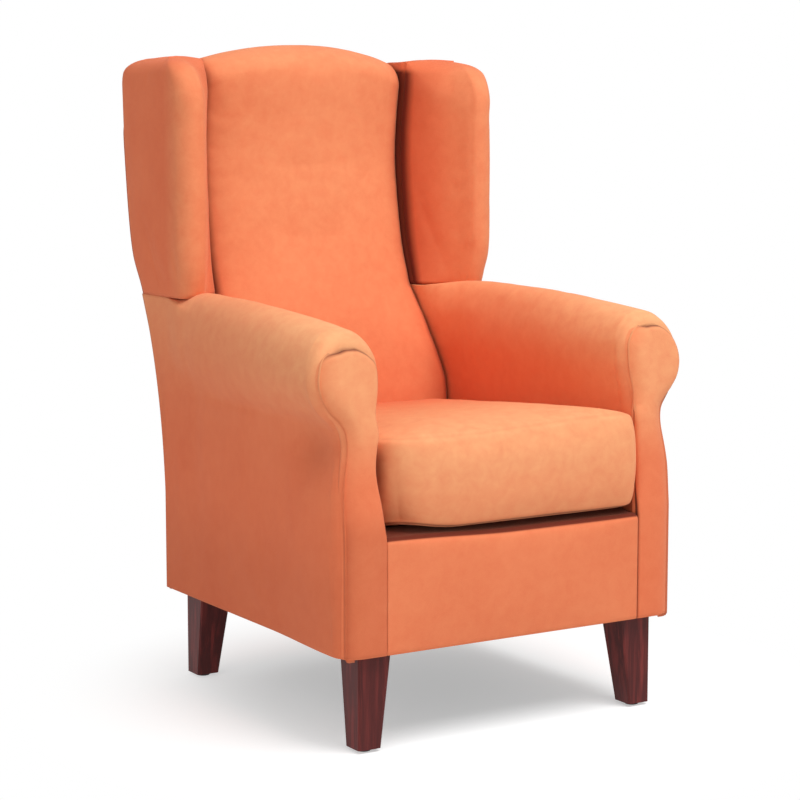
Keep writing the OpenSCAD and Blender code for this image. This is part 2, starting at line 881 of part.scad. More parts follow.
// Wings
wing_edge = 24;
wing_rear_round = 45;
nose_steps = 9;
nose_in_turn = 14;
function drop_in(r, depth) = r - sqrt(max(r * r - pow(min(max(depth, 0), r), 2), 0));
function nose_at(z) =
    nose_y + nose_sweep * pow(max(0, 1 - (z - wing_seat_h) / nose_sweep_h), 2)
    + drop_in(wing_corner, z - wing_h + wing_corner);
inner_steps = 5;
wing_bow = 5;
function wing_ring(z) =
    let (inset = drop_in(wing_edge, z - wing_h + wing_edge))
    let (r = wing_t / 2 - inset)
    let (out_x = half_w - inset)
    let (mid = [half_w - wing_t / 2, nose_at(z) + wing_t / 2])
    let (rear_drop = drop_in(wing_rear_round, z - wing_h + wing_rear_round))
    let (rear = rear_at(z) - back_cover_t - soft_gap - rear_drop - inset / 2)
    let (root = [back_half + inset / 2, min(tuck_at(z), rear - wing_edge)])
    let (start = mid + r * [-cos(nose_in_turn), sin(nose_in_turn)])
    concat(
        [[root[0], rear, z]],
        [for (i = [0:inner_steps]) let (u = i / inner_steps) [
            mix(root[0], start[0], u) - wing_bow * 4 * u * (1 - u) * (1 - inset / wing_edge),
            mix(root[1], start[1], u),
            z
        ]],
        [
            for (i = [1:nose_steps - 1])
                let (a = 180 - nose_in_turn + (180 + nose_in_turn) * i / nose_steps)
                [mid[0] + r * cos(a), mid[1] + r * sin(a), z]
        ],
        [for (i = [0:inner_steps]) [out_x, mix(mid[1], rear - wing_edge / 2, i / inner_steps), z]],
        [[out_x - wing_edge / 4, rear, z]]
    );
wing_low_shares = [0, 0.12, 0.25, 0.42, 0.6, 0.75, 0.86];
wing_top_shares = [0, 0.25, 0.5, 0.7, 0.85, 0.95];
wing_zs = concat(
    [for (s = wing_low_shares) mix(wing_seat_h + soft_gap, wing_h - wing_edge, s)],
    [for (s = wing_top_shares) mix(wing_h - wing_edge, wing_h, s)]
);

module wing_pad() {
    color("tomato") row() difference() {
        loft([for (z = wing_zs) wing_ring(z)]);
        across(back_half - cut, frame_half) behind(leg_h, back_post_top, post_set + strap_t + soft_gap);
        across(back_half - cut, rear_rail_half)
            behind(leg_h, back_top_at(1) - top_rail_pad, back_cover_t + rail_t + soft_gap);
        across(board_x, board_x + wing_board_t) wing_board_outline(0);
    }
}

module wing_pad_right() {
    wing_pad();
}

module wing_pad_left() {
    mirror([1, 0, 0]) wing_pad();
}

// Inside back: rings stand across the chair, up the rear, over the top and down the front.
back_stations = 7;
upper_steps = 7;
top_steps = 5;
top_peak = 180 * floor(top_steps / 2) / top_steps;
function back_levels(s) = concat(
    between_levels(deck_h + soft_gap, wing_seat_h),
    [for (i = [1:upper_steps]) mix(wing_seat_h, back_top_at(s) - back_round, i / upper_steps)]
);
function back_x(z, s) = s * (between_at(z) - soft_gap);
function back_ring(s) =
    let (zs = back_levels(s), z1 = back_top_at(s) - back_round, set = back_cover_t + soft_gap)
    let (y0 = rear_at(z1) - set, y1 = inside_back_at(z1, s))
    concat(
        [for (z = zs) [back_x(z, s), rear_at(z) - set, z]],
        [
            for (i = [1:top_steps - 1])
                let (a = 180 * i / top_steps)
                [back_x(z1, s), mix(y1, y0, (1 + cos(a)) / 2), z1 + back_round * sin(a) / sin(top_peak)]
        ],
        [for (z = flipped(zs)) [back_x(z, s), inside_back_at(z, s), z]]
    );

module inside_back_pad() {
    color("orangered") row() difference() {
        loft([for (i = [-back_stations:back_stations]) back_ring(sin(90 * i / back_stations))]);
        intersection() {
            across(-rear_rail_half, rear_rail_half) behind(leg_h, overall_h, post_set + strap_t + soft_gap);
            along(0, rear_y + back_rake + 2 * cut) polygon(concat(
                [[rear_rail_half, leg_h], [-rear_rail_half, leg_h]],
                arch(rear_rail_half, top_rail_pad - soft_gap)
            ));
        }
    }
}

// Outside back
module outside_back_cover() {
    z0 = frame_z - dust_cover_t;
    corner_z = wing_h - wing_rear_round;
    side_z = corner_z - wing_rear_round / 2;
    shoulder_z = back_top_at(1) - back_round;
    color("brown") row() intersection() {
        across(-half_w, half_w) raked_band(z0, overall_h, 0, back_cover_t);
        along(0, rear_y + back_rake + cut) polygon(concat(
            [[half_w, side_z], [half_w, z0], [-half_w, z0], [-half_w, side_z]],
            [[-half_w + wing_edge, min(corner_z, shoulder_z)]],
            arch(back_half, back_round),
            [[half_w - wing_edge, min(corner_z, shoulder_z)]]
        ));
    }
}

// Loose seat cushion, as shares of its half width and depth, and of its edge thickness
cushion_half = seat_half - cushion_gap;
cushion_z = deck_h + soft_gap;
cushion_top = cushion_z + cushion_t + cushion_crown;
rear_limit = min([for (z = between_levels(deck_h, cushion_top)) inside_back_at(z, 0)]);
cushion_d = rear_limit - cushion_rear_gap - front_y;
cushion_mid_y = front_y + cushion_d / 2;
cushion_under_shares = [[0.1, 0.012], [0.55, 0.012], [0.9, 0.004]];
cushion_side_shares = [
    [0.955, 0.02], [0.982, 0.09], [0.995, 0.22], [1, 0.4], [1, 0.6],
    [0.995, 0.78], [0.982, 0.9], [0.955, 0.965], [0.91, 0.99]
];
cushion_crown_shares = [0.84, 0.72, 0.56, 0.38, 0.2, 0.06];
cushion_corner = 62;
corner_turns = 4;
side_points = 4;
draw_power = 10;
function quarter(a, b, r) = concat(
    [for (i = [0:side_points - 1]) [a, (b - r) * (i + 0.5) / side_points]],
    [
        for (i = [0:corner_turns])
            let (t = 90 * i / corner_turns)
            [a - r + r * cos(t), b - r + r * sin(t)]
    ],
    [for (i = [0:side_points - 1]) [(a - r) * (side_points - i - 0.5) / side_points, b]]
);
function from_item(list, k) = [for (i = [0:len(list) - 1]) list[(i + k) % len(list)]];
function round_ring(a, b, r) =
    let (q = quarter(a, b, r))
    let (left = [for (p = flipped(q)) [-p[0], p[1]]])
    let (ring = concat(q, left, [for (p = q) -p], [for (p = left) -p]))
    from_item(ring, side_points + corner_turns / 2);
function cushion_ring(s, z, draw) =
    let (a = cushion_half, b = cushion_d / 2)
    [
        for (p = round_ring(a * s, b * s, cushion_corner * s))
            let (u = p[0] / a, v = p[1] / b)
            [
                p[0] - draw * sign(u) * pow(abs(u), draw_power) * (1 - v * v),
                p[1] - draw * sign(v) * pow(abs(v), draw_power) * (1 - u * u) + cushion_mid_y,
                z
            ]
    ];
cushion_rings = concat(
    [for (s = cushion_under_shares) cushion_ring(s[0], cushion_z + cushion_t * s[1], 0)],
    [
        for (s = cushion_side_shares)
            cushion_ring(s[0], cushion_z + cushion_t * s[1], cushion_draw * sin(180 * s[1]))
    ],
    [
        for (s = cushion_crown_shares)
            cushion_ring(s, cushion_top - cushion_crown * s * s, 0)
    ]
);
core_set = 22;
core_round = 30;
core_under = 12;
core_t = cushion_t - 2 * core_under;

module core_form(more) {
    w = 2 * (cushion_half - core_set - core_round);
    d = cushion_d - 2 * (core_set + core_round);
    r = core_round + more;
    translate([0, cushion_mid_y, cushion_z + core_under - more]) linear_extrude(height = core_t + 2 * more) {
        square([w + 2 * r, d], center = true);
        square([w, d + 2 * r], center = true);
        for (x = [-w / 2, w / 2], y = [-d / 2, d / 2]) translate([x, y]) circle(r = r, $fn = round_sides);
    }
}

module seat_cushion_core() {
    color("lightyellow") row() core_form(0);
}

module seat_cushion_cover() {
    color("sandybrown") row() difference() {
        loft(cushion_rings);
        core_form(soft_gap);
    }
}

front_rail();
rear_rail();
side_rail_left();
side_rail_right();
corner_blocks();
arm_post_left();
arm_post_right();
arm_rail_left();
arm_rail_right();
back_post_left();
back_post_right();
back_top_rail();
back_lower_rail();
wing_board_left();
wing_board_right();
seat_springs();
spring_clips();
back_webbing();
front_edge_roll();
seat_deck_pad();
front_border();
bottom_dust_cover();
arm_pad_left();
arm_pad_right();
arm_facing_left();
arm_facing_right();
outside_arm_left();
outside_arm_right();
wing_pad_left();
wing_pad_right();
inside_back_pad();
outside_back_cover();
seat_cushion_cover();
seat_cushion_core();
leg_front_left();
leg_front_right();
leg_rear_left();
leg_rear_right();
leg_mount_plates();
leg_plate_screws();
leg_hanger_bolts();
leg_glides();
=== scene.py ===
import math

import bpy
import numpy as np
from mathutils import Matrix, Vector, bvhtree, noise

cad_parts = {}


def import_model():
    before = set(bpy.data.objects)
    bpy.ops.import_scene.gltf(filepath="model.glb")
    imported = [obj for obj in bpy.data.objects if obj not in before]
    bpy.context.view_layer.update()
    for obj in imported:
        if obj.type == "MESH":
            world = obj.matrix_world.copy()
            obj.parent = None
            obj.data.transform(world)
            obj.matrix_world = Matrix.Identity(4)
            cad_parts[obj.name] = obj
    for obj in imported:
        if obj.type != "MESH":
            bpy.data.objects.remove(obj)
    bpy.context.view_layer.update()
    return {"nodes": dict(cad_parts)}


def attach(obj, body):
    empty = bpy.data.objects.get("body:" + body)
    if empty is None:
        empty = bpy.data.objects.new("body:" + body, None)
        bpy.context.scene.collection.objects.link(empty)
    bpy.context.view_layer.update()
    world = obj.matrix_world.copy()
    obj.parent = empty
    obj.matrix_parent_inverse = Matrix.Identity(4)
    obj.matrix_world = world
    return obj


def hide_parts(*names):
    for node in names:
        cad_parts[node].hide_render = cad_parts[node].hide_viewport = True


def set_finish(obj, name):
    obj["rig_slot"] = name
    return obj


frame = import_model()
print("frame loaded")


def newObject(name, data):
    made = bpy.data.objects.new(name, data)
    bpy.context.scene.collection.objects.link(made)
    return made


# camera, at the photograph's viewing angle
camera = {
    "azimuth": -31.78, "elevation": 7.37, "distance": 3.679, "lens": 99.56, "sensor": 36, "clip": (0.05, 60),
    "target": (0.0, -0.07275, 0.491), "sideStep": -0.0188,
}


def directionTo(azimuth, elevation):  # from the chair to a camera or a lamp
    az, el = math.radians(azimuth), math.radians(elevation)
    return Vector((math.sin(az) * math.cos(el), -math.cos(az) * math.cos(el), math.sin(el)))


def makeCamera(c):
    back, az = directionTo(c["azimuth"], c["elevation"]), math.radians(c["azimuth"])
    target = Vector(c["target"]) + Vector((math.cos(az), math.sin(az), 0)) * c["sideStep"]
    data = bpy.data.cameras.new("camera")
    data.lens, data.sensor_width = c["lens"], c["sensor"]
    data.clip_start, data.clip_end = c["clip"]
    cam = newObject("camera", data)
    cam.location = target + back * c["distance"]
    cam.rotation_euler = (-back).to_track_quat("-Z", "Y").to_euler()
    bpy.context.scene.camera = cam


makeCamera(camera)


class Wire:  # a socket that takes part in arithmetic
    def __init__(self, tree, socket):
        self.tree, self.socket = tree, socket

    def math(self, kind, other=None, swap=False):
        parts = [other, self] if swap else [self, other]
        inputs = {i: p for i, p in enumerate(parts) if p is not None}
        return self.tree.node("ShaderNodeMath", {"operation": kind}, inputs)

    def __add__(self, o): return self.math("ADD", o)
    def __radd__(self, o): return self.math("ADD", o)
    def __sub__(self, o): return self.math("SUBTRACT", o)
    def __rsub__(self, o): return self.math("SUBTRACT", o, swap=True)
    def __mul__(self, o): return self.math("MULTIPLY", o)
    def __rmul__(self, o): return self.math("MULTIPLY", o)


class Tree:  # adds a node: its kind, its settings, then the values or links of its sockets
    def __init__(self, nodeTree):
        self.nodes, self.links = nodeTree.nodes, nodeTree.links

    def node(self, kind, settings=None, inputs=None, out=0):
        n = self.nodes.new(kind)
        for key, value in (settings or {}).items():
            setattr(n, key, value)
        for key, value in (inputs or {}).items():
            if isinstance(value, Wire):
                self.links.new(value.socket, n.inputs[key])
            else:
                n.inputs[key].default_value = value
        return Wire(self, n.outputs[out])


# the chair's lines, millimetres from the middle of its seat box
chair = {
    "height": 1083, "halfWidth": 305, "frontY": -309.5, "rearY": 309.5, "legTop": 152, "rowShift": -75.5,
    "deck": 334, "seatHalf": 237.5, "neck": 487, "armTop": 667, "armDrop": 24, "armLean": 30, "hem": 153.4,
    "rake": 151, "bulge": 17, "bulgeHump": (695, 165), "flare": 6, "flareTall": 70,
    "backHalf": 200, "backDepth": 114, "backSwell": 28, "swellPower": 2.6,
    "backDrop": 31, "dropPower": 2.4, "backRound": 40,
    "wingSeat": 655, "wingTop": 1056, "wingReach": 247,
}
rakeRows = [
    (0, 0), (0.16, 0.02), (0.31, 0.11), (0.46, 0.29), (0.55, 0.49),
    (0.65, 0.71), (0.8, 0.91), (0.92, 0.985), (1, 1),
]
depthRows = [
    (0, 0.68), (0.16, 0.71), (0.25, 0.71), (0.36, 0.62), (0.46, 0.56), (0.55, 0.58),
    (0.65, 0.63), (0.73, 0.68), (0.83, 0.8), (0.93, 0.96), (1, 1),
]
swellRows = [(0, 0), (0.16, 0.1), (0.3, 0.5), (0.45, 0.95), (0.6, 1), (0.85, 1), (1, 0.8)]
noseY = chair["rearY"] + chair["rake"] - chair["wingReach"]
seamY = chair["frontY"] + 14
sides = ((1, "Right"), (-1, "Left"))


def mixed(a, b, t):
    return a + (b - a) * t


def eased(t):
    t = np.clip(t, 0, 1)
    return t * t * (3 - 2 * t)


def ramp(value, start, length):  # 0 up to start and 1 past its length; a negative length runs downwards
    return eased((value - start) / length)


def hump(value, middle, width):  # 1 at the middle, falling away on both sides
    return np.exp(-((value - middle) / width) ** 2)


def bell(t):  # 0 at 0 and 1, and 1 halfway
    return np.sin(np.pi * np.clip(t, 0, 1))


def curveAt(rows, t):  # a smooth curve through rows of (place, value)
    x, y = np.array(rows, float).T
    t = np.clip(np.asarray(t, float), x[0], x[-1])
    i = np.clip(np.searchsorted(x, t, side="right") - 1, 0, len(x) - 2)
    before, after = np.maximum(np.arange(len(x)) - 1, 0), np.minimum(np.arange(len(x)) + 1, len(x) - 1)
    slope = (y[after] - y[before]) / (x[after] - x[before])
    span = x[i + 1] - x[i]
    u = (t - x[i]) / span
    bend = span * slope[i] * u * (1 - u) ** 2 - span * slope[i + 1] * u * u * (1 - u)
    return y[i] + (y[i + 1] - y[i]) * u * u * (3 - 2 * u) + bend


def rearAt(z):
    up = (np.asarray(z, float) - chair["legTop"]) / (chair["height"] - chair["legTop"])
    return chair["rearY"] + chair["rake"] * curveAt(rakeRows, up)


def backAt(z):  # the stuffed cover stands a little behind the frame
    return rearAt(z) + chair["bulge"] * hump(z, *chair["bulgeHump"])


def sideAt(z):  # the wings flare a little
    return chair["halfWidth"] + chair["flare"] * ramp(z, chair["wingSeat"], chair["flareTall"])


def upShare(z):
    return (np.asarray(z, float) - chair["deck"]) / (chair["height"] - chair["deck"])


def tuckAt(z):
    return rearAt(z) - chair["backDepth"] * curveAt(depthRows, upShare(z))


def insideBackAt(z, s):
    return tuckAt(z) - chair["backSwell"] * curveAt(swellRows, upShare(z)) * (1 - np.abs(s) ** chair["swellPower"])


def backTopAt(s):
    return chair["height"] - chair["backDrop"] * np.abs(s) ** chair["dropPower"]


def betweenAt(z):
    return np.interp(z, [chair["neck"], chair["wingSeat"]], [chair["seatHalf"], chair["backHalf"]])


def leanAt(z):
    return np.interp(z, [chair["deck"], chair["armTop"]], [0, chair["armLean"]])


def dropIn(radius, depth):
    return radius - np.sqrt(np.maximum(radius ** 2 - np.clip(depth, 0, radius) ** 2, 0))


def edgeRoll(distance, radius, depth):  # how far a surface falls away near its sewn edge
    return depth * (1 - np.sqrt(np.clip(1 - np.clip(1 - distance / radius, 0, 1) ** 2, 0, 1)))


def widened(count, share):  # places from -1 to 1, closer together towards both ends
    return np.sin(np.linspace(-1, 1, count) * np.pi / 2 * share) / math.sin(np.pi / 2 * share)


def splinePath(points, steps):  # a smooth path through the points, with that many steps in each interval
    p = np.array(points, float)
    p = np.vstack([2 * p[0] - p[1], p, 2 * p[-1] - p[-2]])
    path = []
    for i in range(1, len(p) - 2):
        q = p[i - 1:i + 3]
        t = np.concatenate([[0], np.cumsum(np.maximum(np.linalg.norm(np.diff(q, axis=0), axis=1), 1e-6) ** 0.5)])
        for at in np.linspace(t[1], t[2], steps[i - 1], endpoint=False):
            a = [q[k] + (q[k + 1] - q[k]) * (at - t[k]) / (t[k + 1] - t[k]) for k in range(3)]
            b = [a[k] + (a[k + 1] - a[k]) * (at - t[k]) / (t[k + 2] - t[k]) for k in range(2)]
            path.append(b[0] + (b[1] - b[0]) * (at - t[1]) / (t[2] - t[1]))
    path.append(p[-2])
    return np.array(path)


def linePath(points, steps):
    p = np.array(points, float)
    path = [mixed(p[i], p[i + 1], k / steps[i]) for i in range(len(p) - 1) for k in range(steps[i])]
    return np.array(path + [p[-1]])


# mesh helpers
def toRow(points):  # millimetres about the seat box to metres in the row's frame
    p = np.array(points, float).reshape(-1, 3)
    return (p + [0, chair["rowShift"], 0]) * 0.001


def fromRow(points):  # the other way round: metres in the row's frame to millimetres about the seat box
    return np.array(points, float).reshape(-1, 3) * 1000 - [0, chair["rowShift"], 0]


def makeMesh(name, points, faces, uvs, side=1):
    p = toRow(points)
    if side < 0:
        p[:, 0] *= -1
        faces, uvs = [f[::-1] for f in faces], [u[::-1] for u in uvs]
    mesh = bpy.data.meshes.new(name)
    mesh.from_pydata(p.tolist(), [], faces)
    layer = mesh.uv_layers.new(name="cloth")
    layer.data.foreach_set("uv", np.array([c for u in uvs for c in u], float).ravel())
    mesh.polygons.foreach_set("use_smooth", [True] * len(mesh.polygons))
    mesh.update()
    return newObject(name, mesh)


# faces and cloth coordinates of a grid of rows and columns; the rows of a closed one join up with themselves
def gridFaces(rows, cols, closed=False, start=0):
    faces = []
    for i in range(rows - 1):
        low, high = start + i * cols, start + (i + 1) * cols
        for j in range(cols if closed else cols - 1):
            k = (j + 1) % cols
            faces.append([low + j, low + k, high + k, high + j])
    return faces


def gridUvs(grid, closed=False):
    g = np.array(grid, float) * 0.001
    if closed:
        g = np.concatenate([g, g[:, :1]], 1)
    rows, cols = g.shape[:2]
    u = np.concatenate([np.zeros((rows, 1)), np.cumsum(np.linalg.norm(np.diff(g, axis=1), axis=2), 1)], 1)
    u -= u[:, cols // 2][:, None]
    v = np.concatenate([[0], np.cumsum(np.linalg.norm(np.diff(g[:, cols // 2], axis=0), axis=1))])
    v = np.repeat(v[:, None], cols, 1)
    return [
        [(u[a, b], v[a, b]) for a, b in ((i, j), (i, j + 1), (i + 1, j + 1), (i + 1, j))]
        for i in range(rows - 1) for j in range(cols - 1)
    ]


def gridPiece(name, grid, side=1, closed=False):
    g = np.array(grid, float)
    return makeMesh(name, g, gridFaces(g.shape[0], g.shape[1], closed), gridUvs(g, closed), side)


def vertexValues(mesh, kind):
    values = np.empty(len(mesh.vertices) * 3)
    mesh.vertices.foreach_get(kind, values)
    return values.reshape(-1, 3)


def meshPoints(piece):
    return vertexValues(piece.data, "co")


def meshNormals(piece):
    return vertexValues(piece.data, "normal")


def setPoints(piece, p):
    piece.data.vertices.foreach_set("co", np.ascontiguousarray(p).ravel())
    piece.data.update()


def applyModifiers(piece):
    graph = bpy.context.evaluated_depsgraph_get()
    mesh = bpy.data.meshes.new_from_object(
        piece.evaluated_get(graph), preserve_all_data_layers=True, depsgraph=graph)
    piece.modifiers.clear()
    old = piece.data
    piece.data = mesh
    bpy.data.meshes.remove(old)


def mergeDoubles(piece):
    piece.modifiers.new("weld", "WELD").merge_threshold = 0.00005
    applyModifiers(piece)


def thicken(piece, depth, offset=-1):
    wall = piece.modifiers.new("wall", "SOLIDIFY")
    wall.thickness, wall.offset, wall.use_even_offset = depth, offset, False
    applyModifiers(piece)


def addValue(piece, name, values):  # a number on each point, for the cloth's shading
    layer = piece.data.attributes.new(name, "FLOAT", "POINT")
    layer.data.foreach_set("value", np.ascontiguousarray(values, dtype=float))


def smoothed(piece, values, rounds):  # each point's value drawn towards its neighbours'
    ends = np.empty(len(piece.data.edges) * 2, int)
    piece.data.edges.foreach_get("vertices", ends)
    a, b = ends[::2], ends[1::2]
    both, count = np.concatenate([a, b]), np.bincount(ends, minlength=len(values))[:, None]
    for _ in range(rounds):
        other = np.concatenate([values[b], values[a]])
        around = np.stack([np.bincount(both, other[:, k], len(values)) for k in range(3)], 1)
        values = values * 0.4 + 0.6 * around / np.maximum(count, 1)
    return values


clothSettings = {"frames": 13, "quality": 5, "mass": 0.25, "drag": 2, "stiff": 25, "soften": 6, "fade": 0.3}


# A short cloth simulation swells the piece under pressure; held points stay, the rest move by less than the cap.
def plump(piece, held, cap, pressure, bend=0.6):
    c, scene, start = clothSettings, bpy.context.scene, meshPoints(piece)
    free = 1 - np.clip(held, 0, 1)[:, None]
    group = piece.vertex_groups.new(name="held")
    for weight in np.unique(np.round(held, 2)):
        if weight > 0:
            group.add(np.nonzero(np.round(held, 2) == weight)[0].tolist(), float(weight), "REPLACE")
    cloth = piece.modifiers.new("cloth", "CLOTH")
    s = cloth.settings
    s.quality, s.mass, s.air_damping = c["quality"], c["mass"], c["drag"]
    s.tension_stiffness = s.compression_stiffness = c["stiff"]
    s.shear_stiffness, s.bending_stiffness = c["stiff"] / 2, bend
    s.vertex_group_mass = "held"
    s.use_pressure, s.uniform_pressure_force = True, pressure
    s.effector_weights.gravity = 0
    cloth.collision_settings.use_collision = False
    cloth.point_cache.frame_start, cloth.point_cache.frame_end = 1, c["frames"]
    for f in range(1, c["frames"] + 1):
        scene.frame_set(f)
    swollen = piece.evaluated_get(bpy.context.evaluated_depsgraph_get()).data
    delta = vertexValues(swollen, "co") - start
    far, limit = np.linalg.norm(delta, axis=1, keepdims=True), cap * free
    delta *= limit * np.tanh(far / np.maximum(limit, 1e-9)) / np.maximum(far, 1e-9)
    delta = smoothed(piece, delta, c["soften"]) * free ** c["fade"]
    piece.modifiers.remove(cloth)
    piece.vertex_groups.remove(group)
    scene.frame_set(1)
    setPoints(piece, start + delta)


def ripple(p, scale, seed, octaves=3):  # smooth noise at each point, about -1 to 1
    shift = Vector((seed * 3.1, seed * 1.7, seed * 0.9))
    return np.array([noise.fractal(Vector(q) * scale + shift, 0.6, 2.0, octaves) for q in p])


def waver(piece, held, height, scale, seed):  # soft unevenness where the cloth isn't held
    p = meshPoints(piece)
    setPoints(piece, p + meshNormals(piece) * ((1 - held) * height * ripple(p, scale, seed))[:, None])


def hemTurn(depth):  # how the cloth goes round the lower edge: inwards and down
    return (1.0, 1.2), (3.5, 1.9), (depth, 2.0)


pieces = {}


def dress(piece, body, slot, nodes):
    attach(piece, body)
    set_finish(piece, slot)
    if nodes:
        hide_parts(*nodes)
    pieces[piece.name] = piece
    print("made", piece.name, len(piece.data.polygons))

# materials: each starts with its Object coordinates
def newMaterial(name):
    m = bpy.data.materials.new(name)
    m.use_nodes = True
    m.node_tree.nodes.clear()
    tree = Tree(m.node_tree)
    return m, tree, tree.node("ShaderNodeTexCoord", out=3)


def finishMaterial(material, tree, colour, rough, bump, depth, constants):
    shader = tree.nodes.new("ShaderNodeBsdfPrincipled")
    out = tree.nodes.new("ShaderNodeOutputMaterial")
    tree.links.new(shader.outputs[0], out.inputs["Surface"])
    lift = tree.node("ShaderNodeBump", None, {"Strength": 1.0, "Distance": depth, "Height": bump})
    for key, wire in (("Base Color", colour), ("Roughness", rough), ("Normal", lift)):
        tree.links.new(wire.socket, shader.inputs[key])
    for key, value in constants.items():
        shader.inputs[key].default_value = value
    return material


def rgb(r, g, b):  # a screen colour, 0 to 255, as a linear one
    part = [c / 255 for c in (r, g, b)]
    return tuple(c / 12.92 if c <= 0.04045 else ((c + 0.055) / 1.055) ** 2.4 for c in part) + (1.0,)


def colourMix(tree, kind, factor, a, b):
    return tree.node("ShaderNodeMix", {"data_type": "RGBA", "blend_type": kind}, {0: factor, 6: a, 7: b}, out=2)


def noiseAt(tree, place, scale, detail=2.0, rough=0.5, distortion=0.0):
    settings = {"Vector": place, "Scale": scale, "Detail": detail, "Roughness": rough, "Distortion": distortion}
    return tree.node("ShaderNodeTexNoise", None, settings)


def axisOf(tree, place, axis):
    return tree.node("ShaderNodeSeparateXYZ", None, {0: place}, out="xyz".index(axis))


def valueOf(tree, name):
    return tree.node("ShaderNodeAttribute", {"attribute_name": name}, out=2)


def spread(tree, value, low, high):  # low becomes 0 and high 1
    return tree.node("ShaderNodeMapRange", None, {0: value, 1: low, 2: high})


def threadsOf(u, v, width):  # a plain weave, 1 on top of a thread
    turns = 2 * math.pi / width
    return (u * turns).math("SINE") * (v * turns).math("SINE") * 0.5 + 0.5


def clothMaterial(name, c):
    material, tree, place = newMaterial(name)
    weave = tree.node("ShaderNodeUVMap", {"uv_map": "cloth"})
    threads = threadsOf(axisOf(tree, weave, "x"), axisOf(tree, weave, "y"), c["thread"])
    broad = noiseAt(tree, place, c["broad"], 3, 0.55)
    nap = noiseAt(tree, place, c["nap"], 4, 0.65, 0.3)
    fine = noiseAt(tree, place, c["fine"], 2, 0.6)
    shade = spread(tree, broad * 0.5 + nap * 0.3 + fine * 0.2, 0.32, 0.68)
    colour = colourMix(tree, "MIX", shade, c["dark"], c["light"])
    # wear and painted highlight: a value on each point pales the cloth, partly for real wear, partly for tops and
    # fronts that face the light
    colour = colourMix(tree, "MIX", valueOf(tree, "rubAndHighlight") * c["wearAndHighlight"] * (nap * 0.8 + 0.4), colour, c["wornAndLit"])
    colour = colourMix(tree, "MULTIPLY", (1 - threads) * c["weaveDark"], colour, c["between"])
    # painted shade: a value on each point darkens the cloth towards a deep red in seams, tucks, gaps and hollows
    # where shade falls
    shadeShare = valueOf(tree, "paintedShade").math("POWER", 1.4) * c["creaseShadeStrength"]
    colour = colourMix(tree, "MIX", shadeShare, colour, c["creaseShade"])
    height = threads * c["weaveHeight"] + nap * 0.7 + fine * 0.35
    return finishMaterial(material, tree, colour, nap * 0.16 + 0.76, height, c["depth"], {
        "Sheen Weight": c["sheen"], "Sheen Roughness": 0.42, "Sheen Tint": c["sheenTint"],
        "Specular IOR Level": 0.2,
    })


# the darkest colour is for painted shade, the palest for wear and painted highlight
coverLook = {
    "thread": 0.0013, "broad": 5, "nap": 46, "fine": 900, "weaveDark": 0.25, "weaveHeight": 0.6, "depth": 0.0002,
    "dark": rgb(232, 112, 72), "light": rgb(243, 131, 88), "between": (0.6, 0.5, 0.45, 1),
    "wornAndLit": rgb(254, 182, 129), "wearAndHighlight": 0.9, "creaseShade": rgb(84, 8, 2), "creaseShadeStrength": 0.92,
    "sheen": 0.25, "sheenTint": (1.0, 0.62, 0.42, 1),
}
deckLook = dict(
    coverLook, thread=0.0011, dark=rgb(170, 92, 58), light=rgb(192, 112, 74), sheen=0.08, weaveHeight=1.1, wearAndHighlight=0)
dustLook = dict(
    coverLook, thread=0.0026, broad=9, nap=120, dark=rgb(30, 30, 31), light=rgb(48, 48, 49), wornAndLit=rgb(60, 60, 60),
    wearAndHighlight=0, weaveDark=0.5, creaseShade=rgb(10, 10, 10), creaseShadeStrength=0, weaveHeight=0.9, depth=0.00025,
    sheen=0.1, sheenTint=(1, 1, 1, 1))


def plainClothMaterial(name, c):  # cloth on CAD solids, which have no cloth coordinates
    material, tree, place = newMaterial(name)
    threads = threadsOf(axisOf(tree, place, "x"), axisOf(tree, place, "z"), c["thread"])
    nap = noiseAt(tree, place, c["nap"], 4, 0.65)
    broad = noiseAt(tree, place, c["broad"], 3)
    colour = colourMix(tree, "MIX", spread(tree, broad * 0.5 + nap * 0.5, 0.35, 0.65), c["dark"], c["light"])
    colour = colourMix(tree, "MULTIPLY", (1 - threads) * c["weaveDark"], colour, (0.6, 0.55, 0.5, 1))
    height = threads * c["weaveHeight"] + nap
    return finishMaterial(material, tree, colour, nap * 0.2 + 0.75, height, 0.0004, {"Specular IOR Level": 0.2})


foamLook = {
    "thread": 0.003, "nap": 420, "broad": 9, "dark": rgb(226, 212, 172), "light": rgb(244, 234, 200),
    "weaveDark": 0, "weaveHeight": 0,
}
webbingLook = {
    "thread": 0.004, "nap": 90, "broad": 12, "dark": rgb(196, 178, 138), "light": rgb(222, 206, 168),
    "weaveDark": 0.6, "weaveHeight": 1.5,
}
threadLook = {
    "thread": 0.0008, "nap": 700, "broad": 30, "dark": rgb(188, 84, 50), "light": rgb(226, 116, 74),
    "weaveDark": 0.5, "weaveHeight": 0.4,
}


def woodMaterial(name, w, axis):
    material, tree, place = newMaterial(name)
    stretch = [w["across"]] * 3
    stretch["xyz".index(axis)] = w["along"]
    grainPlace = tree.node(
        "ShaderNodeMapping", None, {"Vector": place, "Location": w["shift"], "Scale": tuple(stretch)})
    bend = noiseAt(tree, grainPlace, 0.35, 2)
    rings = noiseAt(tree, grainPlace, 1.0, 5, 0.55, 0.8)
    pores = noiseAt(tree, grainPlace, 7.0, 3, 0.6)
    bands = ((rings * 1.2 + bend * 0.6) * w["rings"]).math("SINE") * 0.5 + 0.5
    shade = spread(tree, bands * 0.45 + rings * 0.3 + pores * 0.25, 0.2, 0.8)
    colour = colourMix(tree, "MIX", shade, w["dark"], w["light"])
    poreMask = spread(tree, pores, 0.6, 0.75)
    colour = colourMix(tree, "MULTIPLY", poreMask * 0.5, colour, w["pore"])
    return finishMaterial(
        material, tree, colour, pores * 0.16 + w["rough"], shade * 0.5 - poreMask * 0.8, w["depth"], w["coat"])


